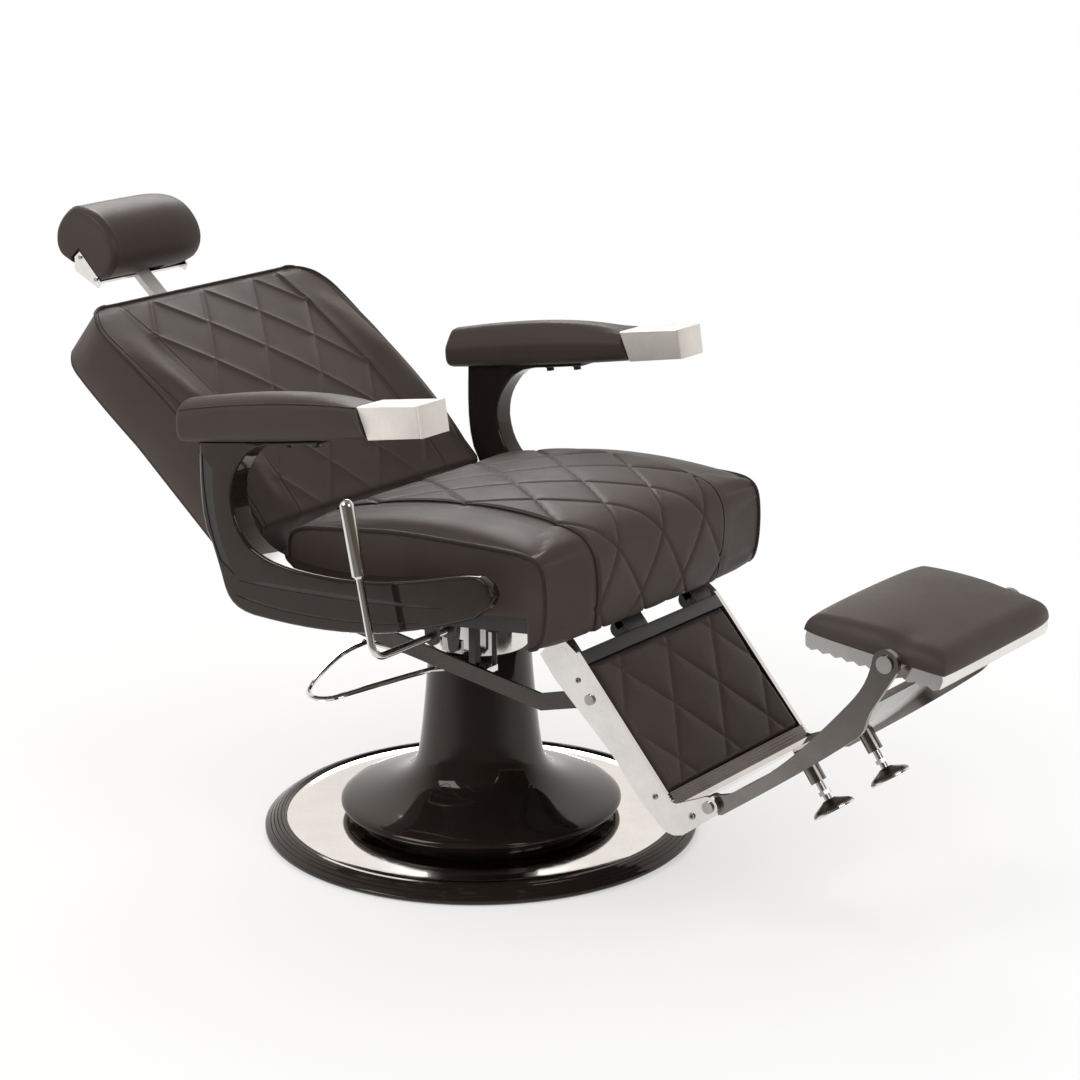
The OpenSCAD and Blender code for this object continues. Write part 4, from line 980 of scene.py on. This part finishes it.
SEAT_STATIONS = SEAT_REAR + SEAT_TOP + SEAT_FRONT
SEAT_ROWS = smooth_path(SEAT_STATIONS, 241)
seat_steps = np.linalg.norm(np.diff(SEAT_ROWS[:, :2], axis=0), axis=1)
seat_u = np.concatenate([[0], np.cumsum(seat_steps)])
seat_u -= np.interp(0, SEAT_ROWS[60:150, 0], seat_u[60:150])
print("seat rows", len(SEAT_ROWS), "from", round(seat_u[0]), "to", round(seat_u[-1]), "mm")


# %% Seat grid
def seat_grid():
    """Grid of points in metres, with u and the signed panel fraction of every point."""
    rows = len(SEAT_ROWS)
    seam, edge, base = SEAT_ROWS[:, 0:2], SEAT_ROWS[:, 2:4], SEAT_ROWS[:, 4:6]
    ahead = np.gradient(seam, axis=0)
    ahead /= np.linalg.norm(ahead, axis=1, keepdims=True)
    outward = np.stack([-ahead[:, 1], ahead[:, 0]], 1)
    half = 186 - 0.075 * (np.clip(seat_u, -110, 460) - 80)
    crown = 4.0 * np.clip((seat_u - 20) / 160, 0, 1) * np.clip((470 - seat_u) / 130, 0, 1)
    columns, fraction = [], []
    sides, bolster, panel = 14, 16, 72
    for k in range(sides, 0, -1):
        v = k / sides
        xz = edge + (base - edge) * v
        y = -(SEAT_HALF - 4 * v ** 4 + 3.4 * math.sin(math.pi * v) ** 0.8) * np.ones(rows)
        columns.append((xz, y))
        fraction.append(-3 - v)
    for k in range(bolster, 0, -1):
        a = math.pi / 2 * k / bolster
        t = math.sin(a)
        rise = (1 - t ** 2.8) ** (1 / 2.8)
        columns.append((edge + (seam - edge) * rise, -(half + (SEAT_HALF - half) * t)))
        fraction.append(-1 - k / bolster)
    for m in range(-panel, panel + 1):
        t = m / panel
        columns.append((seam + outward * (crown * (1 - t * t))[:, None], half * t))
        fraction.append(t)
    mirrored = [(xz, -y) for xz, y in columns[:sides + bolster]][::-1]
    columns += mirrored
    fraction += [-f for f in fraction[:sides + bolster]][::-1]
    grid = np.stack([np.stack([xz[:, 0], y, xz[:, 1]], -1) for xz, y in columns], 1) * MM
    return grid, np.array(fraction), half


seat_points, seat_fraction, seat_half = seat_grid()
seat_across = seat_points[..., 1] * (117 / (2 * seat_half / 3))[:, None]
seat_quilt = quilt_distance(seat_u[:, None] * MM, seat_across, 0.199, 0.158, 0.117)
seat_panel = (np.abs(seat_fraction) <= 1)[None, :] & np.ones((len(seat_u), 1), bool)
print("seat grid", seat_points.shape)


# %% Seat swelling and quilting
def seat_surface():
    """The seat's cover: swollen as cloth, then quilted and drawn in at its seams."""
    grid = seat_points.copy()
    f = np.abs(seat_fraction)[None, :]
    held = (seat_panel & (seat_quilt < 0.0032)) | (np.abs(f - 1) < 0.02) | (np.abs(f - 2) < 0.02) | (f > 3.8)
    held = held | (seat_u[:, None] < seat_u[0] + 25) | (seat_u[:, None] > seat_u[-1] - 22)
    grid = grid + blow_up(grid, held, 4.0, 0.007) * np.where(seat_panel, 0.5, 1.0)[..., None]
    normal = -grid_normals(grid)
    seam_gap = np.abs(np.abs(seat_points[..., 1]) - (seat_half * MM)[:, None])
    fade = np.clip((seat_u[:, None] - seat_u[0] - 60) / 60, 0, 1)
    fade = fade * np.clip((seat_u[-1] - seat_u[:, None] - 8) / 25, 0, 1)
    puff = np.where(seat_panel, (1 - np.exp(-seat_quilt / 0.008)) * 0.0026 * fade, 0)
    press = np.where(seat_panel, seam_dip(seat_quilt, 0.0022) * -0.0020 * fade, 0)
    seam = -0.0042 * seam_dip(seam_gap, 0.0034) * ((f < 2) * 1.0)
    return grid + normal * (puff + press + seam)[..., None]


seat_skin = seat_surface()
v, f, seat_number = welded(seat_skin)
seat_cover = mesh_object("seat_cover", v, f, LEATHER)
soft(seat_cover, "seat", "seat_cushion")
print("seat cover", len(v), "points")

# %% Seat welts
# Welts are tubes laid in the seams: one around each flat side and one beside each edge of the quilting.
seat_columns = (("side_right", -2, True), ("side_left", 2, True),
                ("seam_right", -1, False), ("seam_left", 1, False))
for welt_name, at, side_welt in seat_columns:
    column = int(np.argmin(np.abs(seat_fraction - at)))
    rows = slice(14 if side_welt else 40, -3)
    lift, radius = (0.0002, 0.0032) if side_welt else (0.0012, 0.0016)
    path = seat_skin[rows, column][::2] - grid_normals(seat_skin)[rows, column][::2] * lift
    trim(tube("seat_welt_" + welt_name, path, radius, SEAM_SHADE_LEATHER), "seat")
print("seat welts", len(seat_columns))

# %% [markdown]
# ## Back cushion
# The back is a deeper box cushion: a quilted middle between two bolsters, with one boxing strip that runs
# up both sides and over the top, joined by a welt. It is drawn on the back's own axes, N out of the
# cushion and S up along it, from the hinge, so that it could recline with no other number changed.
# The rear stays open for the board, and is closed by a flat cloth just behind the board's face.

# %% Back cushion's lines
BACK_SLOPE = math.radians(40)
back_hinge = joint_at("back_recline")
BACK_BOTTOM, BACK_TOP, BACK_REAR = 40.0, 514.0, -33.6
CORNER, CORNER_WIDTH = 11.0, 26.0
BOX = 14


def in_back(n, y, s):
    """Point in metres from the back's own axes in millimetres."""
    n, y, s = np.broadcast_arrays(n, y, s)
    x = back_hinge[0] + (n * math.sin(BACK_SLOPE) - s * math.cos(BACK_SLOPE)) * MM
    z = back_hinge[2] + (n * math.cos(BACK_SLOPE) + s * math.sin(BACK_SLOPE)) * MM
    return np.stack([x, y * MM, z], -1)


def back_half(s):
    """Half the width at S: fullest two thirds up, then drawn in to rounded top corners."""
    t = np.clip((s - 305) / 135, 0, 1)
    u = np.clip((s - 440) / 60, 0, 1.13)
    side = 261 + 7 * np.sin(math.pi / 2 * t) - 24 * u ** 2.4
    turn = np.clip((s - BACK_TOP + CORNER) / CORNER, 0, 1)
    return side - CORNER_WIDTH * (1 - np.sqrt(1 - turn ** 2))


def back_edge(s):
    """N of the welt between the bolster and the boxing strip."""
    middle = 74 + 2 * np.sin(math.pi * np.clip((s - 128) / 177, 0, 1))
    low = np.where(s < 128, 69 + (s - 40) * 0.06, middle)
    top = 61 - 8 * np.clip((s - 475) / 33, 0, 1) ** 2
    high = np.where(s < 475, 74 - 13 * np.clip((s - 305) / 170, 0, 1) ** 1.5, top)
    return np.where(s < 305, low, high) + (BACK_REAR - low) * 0.42 * np.clip((60 - s) / 20, 0, 1) ** 5


def back_seam(s):
    """N of the seam between the quilting and the bolster; the lower end tucks in towards the board."""
    low = 89.5 - 14 * np.clip((212 - s) / 172, 0, 1) ** 1.6
    n = np.where(s < 212, low, 89.5 - 33 * np.clip((s - 212) / 286, 0, 1.05) ** 1.75)
    n = n - 3.0 * np.clip((s - 493) / 14.5, 0, 1) ** 2
    return n + (BACK_REAR - n) * 0.42 * np.clip((60 - s) / 20, 0, 1) ** 5


def back_rows():
    """S and the front of every row, evenly spaced along the seam."""
    s = BACK_BOTTOM + (BACK_TOP - BACK_BOTTOM) * np.linspace(0, 1, 4000)
    step = np.sqrt(np.diff(s) ** 2 + np.diff(back_seam(s)) ** 2 + np.diff(back_half(s)) ** 2)
    length = np.concatenate([[0], np.cumsum(step)])
    return np.interp(np.linspace(0, length[-1], 161), length, s)


back_s = back_rows()
print("back rows", len(back_s))


# %% Back grid
def back_grid():
    """N, Y and S of every point of the cover, with the signed panel fraction of every column."""
    half = back_half(back_s)
    seam_half = 176 + 5 * np.clip((back_s - 300) / 200, 0, 1)
    seam, edge = back_seam(back_s), back_edge(back_s)
    crown = 5 * np.sin(math.pi * np.clip((back_s - 40) / (BACK_TOP - 40), 0, 1)) ** 0.8
    plump = 24 * np.clip((back_s - 50) / 90, 0, 1) * np.clip((500 - back_s) / 210, 0, 1) ** 1.1
    fade = np.clip((np.array(back_s) - 40) / 30, 0, 1) * np.clip((480 - back_s) / 30, 0, 1)
    bolster, panel = 14, 72
    n_columns, y_columns, fraction = [], [], []
    for k in range(BOX, 0, -1):
        v = k / BOX
        n_columns.append(edge + (BACK_REAR - edge) * v)
        y_columns.append(-(half + 3 * math.sin(math.pi * v) * fade - 4 * v ** 6 * fade))
        fraction.append(-2 - v)
    for k in range(bolster, 0, -1):
        t = math.sin(math.pi / 2 * k / bolster)
        rise = (1 - t ** 2.4) ** (1 / 2.4)
        n_columns.append(edge + (seam - edge) * rise + plump * math.sin(math.pi * t ** 1.3) ** 0.8)
        y_columns.append(-(seam_half + (half - seam_half) * t))
        fraction.append(-1 - k / bolster)
    for m in range(-panel, panel + 1):
        t = m / panel
        n_columns.append(seam + crown * (1 - t * t))
        y_columns.append(seam_half * t)
        fraction.append(t)
    side = BOX + bolster
    n_columns += n_columns[:side][::-1]
    y_columns += [-y for y in y_columns[:side]][::-1]
    fraction += [-f for f in fraction[:side]][::-1]
    n, y = np.stack(n_columns, 1), np.stack(y_columns, 1)
    s = np.repeat(back_s[:, None], n.shape[1], 1)
    ends = []
    for row, sign in ((0, -1), (-1, 1)):
        for k in range(1, BOX + 1):
            v = k / BOX
            bulge = sign * 2.5 * math.sin(math.pi * v) * (1 - (y[row] / y[row].max()) ** 8)
            ends.append((n[row] + (BACK_REAR - n[row]) * v, y[row].copy(), s[row] + bulge))
    low, high = ends[:BOX][::-1], ends[BOX:]
    n = np.concatenate([[e[0] for e in low], n, [e[0] for e in high]])
    y = np.concatenate([[e[1] for e in low], y, [e[1] for e in high]])
    s = np.concatenate([[e[2] for e in low], s, [e[2] for e in high]])
    return n, y, s, np.array(fraction)


back_n, back_y, back_u, back_fraction = back_grid()
back_points = in_back(back_n, back_y, back_u)
back_seam_half = 176 + 5 * np.clip((back_u[:, :1] - 300) / 200, 0, 1)
back_quilt = quilt_distance(back_u * MM, back_y * MM, 0.351, 0.156, 0.117)
back_row = np.arange(len(back_n))[:, None]
back_middle = (np.abs(back_fraction) <= 1)[None, :] & (back_row >= BOX) & (back_row < len(back_n) - BOX)
print("back grid", back_points.shape)


# %% Back swelling and quilting
def back_surface():
    """The back's cover: swollen as cloth, then quilted and drawn in at its seams."""
    f = np.abs(back_fraction)[None, :]
    held = (back_middle & (back_quilt < 0.0032)) | (np.abs(f - 1) < 0.02) | (f > 1.98)
    held = held | (back_row < BOX + 3) | (back_row > len(back_n) - BOX - 3)
    grid = back_points.copy()
    grid = grid + blow_up(grid, held, 4.0, 0.007, wrap=False) * np.where(back_middle, 0.4, 1.0)[..., None]
    normal = -grid_normals(grid, wrap=False)
    fade = np.clip((BACK_TOP - 3 - back_u) / 14, 0, 1) * np.clip((back_u - BACK_BOTTOM - 10) / 25, 0, 1)
    gap = np.abs(np.abs(back_y) - back_seam_half) * MM
    puff = np.where(back_middle, (1 - np.exp(-back_quilt / 0.007)) * 0.0022 * fade, 0)
    press = np.where(back_middle, seam_dip(back_quilt, 0.0022) * -0.0017 * fade, 0)
    seam = -0.0036 * seam_dip(gap, 0.0032) * (f < 1.9) * fade
    return grid + normal * (puff + press + seam)[..., None]


back_skin = back_surface()
v, f, back_number = welded(back_skin, wrap=False)
number = back_number.reshape(back_n.shape)
rim = np.concatenate([number[0, BOX:-BOX], number[BOX:-BOX, -1], number[-1, BOX:-BOX][::-1],
                      number[BOX:-BOX, 0][::-1]])
rim = [int(a) for k, a in enumerate(rim) if a != rim[k - 1]]
back_cover = mesh_object("back_cover", v, f + [rim], LEATHER)
soft(back_cover, "back", "back_cushion")
print("back cover", len(v), "points")

# %% Back board
# The board stops short of the cover's edge all round, where the leather is wrapped over and tacked.
board = copy_of("back_board")
BOARD_WIDTH_SHARE, BOARD_SHORTER = 0.95, 10
select_where(board, lambda p: abs(p[1]) > 120)
bpy.ops.transform.resize(value=(1, BOARD_WIDTH_SHARE, 1), center_override=(0, 0, 0))
bpy.ops.object.mode_set(mode="OBJECT")
top_left = in_back(0, 0, BACK_TOP - 14) / MM


def board_top(p):
    """The upper edge of the board, which is lowered."""
    return (top_left[0] - p[0]) * math.cos(BACK_SLOPE) + (p[2] - top_left[2]) * math.sin(BACK_SLOPE) > 0


down = (BOARD_SHORTER * math.cos(BACK_SLOPE), 0, -BOARD_SHORTER * math.sin(BACK_SLOPE))
print("board top", shift_where(board, lambda p: board_top(p) and abs(p[1]) > 40, down), "points")
take_place(board, "back_board")

# %% Back welts
# One welt follows the whole edge of the front, with a row of stitches beside it on the bolster.
def back_outline():
    """The path up one side of the front, over the top and down the other side."""
    first, last = BOX + 6, len(back_n) - BOX - 1
    left, right = int(np.argmin(np.abs(back_fraction + 2))), int(np.argmin(np.abs(back_fraction - 2)))
    up = [back_skin[r, left] for r in range(first, last, 2)]
    over = [back_skin[last, c] for c in range(left, right + 1, 2)]
    return np.array(up + over + [back_skin[r, right] for r in range(last - 1, first, -2)])


trim(tube("back_welt_edge", back_outline(), 0.0026, SEAM_SHADE_LEATHER), "back")
for side_name, at in (("right", -1), ("left", 1)):
    column = int(np.argmin(np.abs(back_fraction - at)))
    rows = slice(BOX + 12, len(back_n) - BOX - 3)
    path = back_skin[rows, column][::2] - grid_normals(back_skin, False)[rows, column][::2] * 0.001
    trim(tube("back_welt_" + side_name, path, 0.0014, SEAM_SHADE_LEATHER), "back")
for side_name, column in (("right", BOX + 4), ("left", -BOX - 5)):
    path = back_skin[BOX + 10:len(back_n) - BOX - 6, column][::2]
    trim(tube("back_stitches_" + side_name, path, 0.0009, SEAM_SHADE_LEATHER, sides=8), "back")
print("back welts 5")

# %% [markdown]
# ## Headrest
# The headrest is a firm roll with a flat, rounded section, welted around both end faces, and cut away
# below for its bracket. The roll is swept from its section; the room for the bracket is cut with Boolean
# modifiers, which leave a clean edge where the leather is wrapped over the board.

# %% Headrest bracket
# The roll is a little shorter on the sitter's left, so that side of its bracket is drawn in as well.
BRACKET_DRAWN_IN = 11
for name in ("head_bracket", "head_screws"):
    piece = copy_of(name)
    shift_where(piece, lambda p: p[1] > 95, (0, -BRACKET_DRAWN_IN, 0))
    print(take_place(piece, name).name)

# %% Headrest roll
HEAD_HALF, HEAD_SHORT = 110.0, 8.0
HEAD_SECTION = [
    (-738, 913), (-713, 910.5), (-690, 902), (-671, 887.5), (-657, 869), (-651, 850), (-653, 833),
    (-661, 818), (-675, 805.5), (-696, 800), (-716, 806.5), (-736, 817.5), (-758, 826.5), (-773, 834),
    (-781, 846), (-782.5, 860), (-779, 876), (-769, 892), (-755, 905)]
HEAD_SCALE, HEAD_SHIFT = 1.02, (11.3, -13.1)


def closed_path(points, count):
    """Points spaced evenly around a smooth closed curve."""
    p = list(points)
    path = smooth_path(p[-3:] + p + p[:4], 4000)
    start = int(np.argmin(np.linalg.norm(path[:2000] - p[0], axis=1)))
    end = 2000 + int(np.argmin(np.linalg.norm(path[2000:] - p[0], axis=1)))
    lap = path[start:end + 1]
    length = np.concatenate([[0], np.cumsum(np.linalg.norm(np.diff(lap, axis=0), axis=1))])
    at = np.linspace(0, length[-1], count + 1)[:-1]
    return np.stack([np.interp(at, length, lap[:, k]) for k in range(2)], 1)


def head_grid():
    """Rows of the roll from one end face to the other, rounded at both."""
    section = closed_path(HEAD_SECTION, 144) * HEAD_SCALE + np.array(HEAD_SHIFT)
    middle = np.array([-716.0, 856.0])
    rows = []
    for a in np.linspace(0, 1, 7)[:-1]:
        rows.append((-HEAD_HALF + 1.2 * (1 - a ** 2), 0.03 + 0.83 * a))
    for a in np.linspace(0, math.pi / 2, 8):
        rows.append((-HEAD_HALF + 14 * (1 - math.cos(a)), 0.86 + 0.14 * math.sin(a)))
    for a in np.linspace(0, 1, 62)[1:-1]:
        y = (-HEAD_HALF + 14) * (1 - 2 * a)
        rows.append((y, 1 + 0.012 * (1 - (y / HEAD_HALF) ** 2)))
    rows += [(-y, k) for y, k in rows[:14]][::-1]
    rows = [(y, k * (1 - 0.10 * max(0, (y - 45) / 65) ** 2)) for y, k in rows]
    grid = [[(x, y, z) for x, z in middle + (section - middle) * k] for y, k in rows]
    return np.array(grid) * MM


def cutter(name, outline, y0, y1):
    """A prism along Y for a Boolean modifier."""
    n = len(outline)
    vertices = [(x * MM, y * MM, z * MM) for y in (y0, y1) for x, z in outline]
    faces = [list(range(n)), list(range(2 * n - 1, n - 1, -1))]
    faces += [[k, k + n, (k + 1) % n + n, (k + 1) % n] for k in range(n)]
    o = mesh_object(name, vertices, faces, LEATHER, smooth=False)
    edit(o, lambda: bpy.ops.mesh.normals_make_consistent(inside=False))
    return o


def cut_away(piece, tools):
    """Cuts the tools' shapes out of the piece and removes the tools."""
    for tool in tools:
        cut = piece.modifiers.new("cut", "BOOLEAN")
        cut.operation = "DIFFERENCE"
        cut.solver = "EXACT"
        cut.object = tool
        alone(piece)
        bpy.ops.object.modifier_apply(modifier=cut.name)
        bpy.data.objects.remove(tool)


head_points = head_grid()
head_points[..., 1] *= np.where(head_points[..., 1] > 0, 1 - HEAD_SHORT / HEAD_HALF, 1)
head_normal = grid_normals(head_points)
head_band = np.abs(np.abs(head_points[..., 1]) - 0.098)
head_skin = head_points + head_normal * (0.0014 * seam_dip(head_band, 0.0018))[..., None]
v, f, number = welded(head_skin)
ends = [[int(a) for a in number[:144]], [int(a) for a in number[-144:]][::-1]]
head_cover = mesh_object("head_cover", v, f + ends, LEATHER)
print("headrest", len(v), "points")

# %% Room for the bracket
FLANGE = [(-745, 808), (-688, 784), (-682, 801), (-733, 852), (-751, 836)]
cut_away(head_cover, [
    cutter("cut_middle", [(-754, 800), (-738, 838), (-692, 836), (-646, 784), (-672, 754)], -24, 24),
    cutter("cut_right", FLANGE, -130, -HEAD_HALF + 6.7),
    cutter("cut_left", FLANGE, HEAD_HALF - HEAD_SHORT - 6.7, 130),
    cutter("cut_below", [(-754, 798), (-745.4, 822.2), (-697.4, 799.4), (-706, 788)],
           -HEAD_HALF + 2, HEAD_HALF - 2)])
head_cover.data.polygons.foreach_set("use_smooth", [True] * len(head_cover.data.polygons))
round_shade(head_cover, 40)
soft(head_cover, "headrest", "head_roll")
print("headrest cut", len(head_cover.data.polygons), "faces")

# %% [markdown]
# ## Armrest pads
# Each pad is a long, firm cushion on its arm. Its crowned top meets the outer side in a welt that wraps
# around the rear end, and rolls over into the inner side. Its front end is square, because it meets the
# metal cap.

# %% Armrest pads
def pad_low(x):
    """Height of the pad's underside, which follows the arm."""
    return 645 + 0.137 * (x + 258) + 0.00007 * (x + 258) ** 2


def pad_grid():
    """Rows run along the pad and columns around it, from the underside over the top."""
    rows = []
    half = 30.0
    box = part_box("armpad_left")
    centre = (box[0][1] + box[1][1]) / 2 / MM
    side, top = 16, 22
    lengths = np.concatenate([np.zeros(14), np.linspace(0, 1, 100)])
    turn = np.concatenate([np.linspace(0, 1, 15)[:-1], np.ones(100)])
    for t, k in zip(lengths, turn):
        round_off = math.sin(math.pi / 2 * k)
        lead = -14 * math.cos(math.pi / 2 * k) if k < 1 else 0
        x0 = -285 + 360.5 * t
        low = np.array([x0, pad_low(x0)])
        up = np.array([-286, 692]) * (1 - t) ** 3 + np.array([-190, 714]) * 3 * (1 - t) ** 2 * t
        up = up + np.array([-60, 737]) * 3 * (1 - t) * t * t + np.array([57.8, 742.5]) * t ** 3
        crown = 13 * (1 - t ** 5)
        ring = []
        for j in range(side + 1):
            v = j / side
            bulge = 4.5 * math.sin(math.pi * v) ** 0.8
            inset = 11 * (1 - math.sqrt(1 - (1 - min(1, v * 4.2)) ** 2))
            ring.append((low + (up - low) * v, -half - bulge + inset))
        for j in range(1, top):
            a = -1 + 2 * j / top
            ring.append((up + np.array([0, crown * (1 - abs(a) ** 2.3)]), half * a))
        ring += [(p, -y) for p, y in ring[:side + 1]][::-1]
        for j in range(side - 5, side + 6):
            w = 1 - abs(j - side) / 6
            ring[j] = (ring[j][0] - np.array([0, 3.2 * w]), ring[j][1] + 5.5 * w)
        mid = np.array([x0, 668.0])
        out = []
        for p, y in ring:
            z = mid[1] + (p[1] - mid[1]) * (0.5 + 0.5 * round_off)
            out.append((p[0] + lead, y * (0.4 + 0.6 * round_off) + centre, z))
        rows.append(out)
    return np.array(rows) * MM, side, top


def armpad(name, sign):
    """One pad with its welt; the far pad mirrors the near one."""
    grid, side, top = pad_grid()
    normal = grid_normals(grid)
    seam = np.zeros(grid.shape[:2])
    seam[:, side + top] = 0.0014
    seam[:, side + top - 1] = seam[:, side + top + 1] = 0.0004
    grid = grid + normal * seam[..., None] * (1 if normal[50, side + top // 2, 2] < 0 else -1)
    grid[..., 1] *= sign
    v, f, number = welded(grid)
    count = grid.shape[1]
    ends = [[int(a) for a in number[:count]], [int(a) for a in number[-count:]][::-1]]
    pad = mesh_object("pad_cover_" + name, v, f + ends, LEATHER)
    soft(pad, "seat", "armpad_" + name)
    path = np.concatenate([grid[2, side:side + top + 1:2], grid[2:, side + top][::2]])
    trim(tube("pad_welt_" + name, path, 0.0016, SEAM_SHADE_LEATHER), "seat")
    return pad


for name, sign in (("left", 1), ("right", -1)):
    print(armpad(name, sign).name)

# %% [markdown]
# ## Legrest and footrest cushions
# Both are thin quilted or plain pads that sit in a metal frame, so each is one crowned sheet with its
# edges turned down into the frame.

# %% Legrest cushion
def leg_surface():
    """The legrest's cover, crowned and quilted, with edges turned down into its frame."""
    half = 171.0
    a = np.concatenate([[34.5, 34.6, 35.2, 36.5, 38.5], np.linspace(41, 243, 70),
                        [245.5, 247.5, 248.8, 249.4, 249.5]])[:, None]
    y = np.concatenate([np.array([0.6, 0, 0.5, 2, 4.5]) - half, np.linspace(-half + 7.5, half - 7.5, 115)])
    y = np.concatenate([y, -y[:5][::-1]])[None, :]
    u = np.clip((a - 34.5) / 215, 0, 1)
    v = np.clip((y + half) / (2 * half), 0, 1)
    edge = np.minimum(np.minimum(a - 34.5, 249.5 - a), half - np.abs(y))
    fall = np.sqrt(np.clip(1 - (1 - np.clip(edge / 11, 0, 1)) ** 2, 0, 1))
    n = 9.7 + 10.8 * fall + 4 * (np.sin(math.pi * u) * np.sin(math.pi * v)) ** 0.6
    gap = quilt_distance(a * MM, y * MM, 0.060, 0.156, 0.117)
    near = np.clip((edge - 3) / 6, 0, 1)
    n = n + near * ((1 - np.exp(-gap / 0.014)) * 3.4 - 1.9 * seam_dip(gap, 0.0026))
    return in_leg(n, y, a)


leg_skin = leg_surface()
leg_cover = sheet_pad("leg_cover", leg_skin)
soft(leg_cover, "legrest", "leg_cushion")
print("legrest cover", leg_skin.shape)

# %% Footrest cushion
TRAY_SLOPE = math.radians(5.6 + TRAY_NOSE_DOWN)


def in_tray(x, y, z):
    """Point in metres from the tray's own axes in millimetres; the tray rises towards the rear."""
    x, y, z = np.broadcast_arrays(x, y, z)
    c, s = math.cos(TRAY_SLOPE), math.sin(TRAY_SLOPE)
    height = tray_hinge[2] + (z * c - x * s - TRAY_DROP) * MM
    return np.stack([tray_hinge[0] + (x * c + z * s) * MM, y * MM, height], -1)


def edged(low, high, count):
    """Values from low to high, close together at both ends."""
    ends = np.array([0, 0.2, 0.8, 1.8, 3.2, 5.0])
    return np.concatenate([low + ends, np.linspace(low + 7, high - 7, count), (high - ends)[::-1]])


def foot_surface():
    """The footpad's cover, crowned, with a small tuck beside the pins."""
    x0, x1, half = -146.0, 78.0, 157.0
    x, y = edged(x0, x1, 44)[:, None], edged(-half, half, 66)[None, :]
    u, v = (x - x0) / (x1 - x0), (y + half) / (2 * half)
    edge = np.minimum(np.minimum(x - x0, x1 - x), half - np.abs(y))
    fall = np.sqrt(np.clip(1 - (1 - np.clip(edge / 24, 0, 1)) ** 2, 0, 1))
    crown = (np.sin(math.pi * u) * np.sin(math.pi * v)) ** 0.6
    middle = (x0 + x1) / 2
    px, py = 2 * u - 1, 2 * v - 1
    tuck = np.exp(-((x - 6) / 20) ** 2) * np.abs(py) ** 5 * fall * np.where(py < 0, 1, 0.3)
    z = 12 + 25 * fall + 13 * crown + 4 * np.sin(math.pi * u) * fall - 7 * tuck
    round_x = middle + (x - middle) * (1 - 0.07 * np.abs(py) ** 6 * np.where(py > 0, 1, 0.3))
    return in_tray(round_x, y * (1 - 0.05 * np.abs(px) ** 6 * np.where(px < 0, 1, 0.4)), z)


foot_skin = foot_surface()
foot_cover = sheet_pad("foot_cover", foot_skin)
soft(foot_cover, "footpad", "foot_cushion")
print("footrest cover", foot_skin.shape)
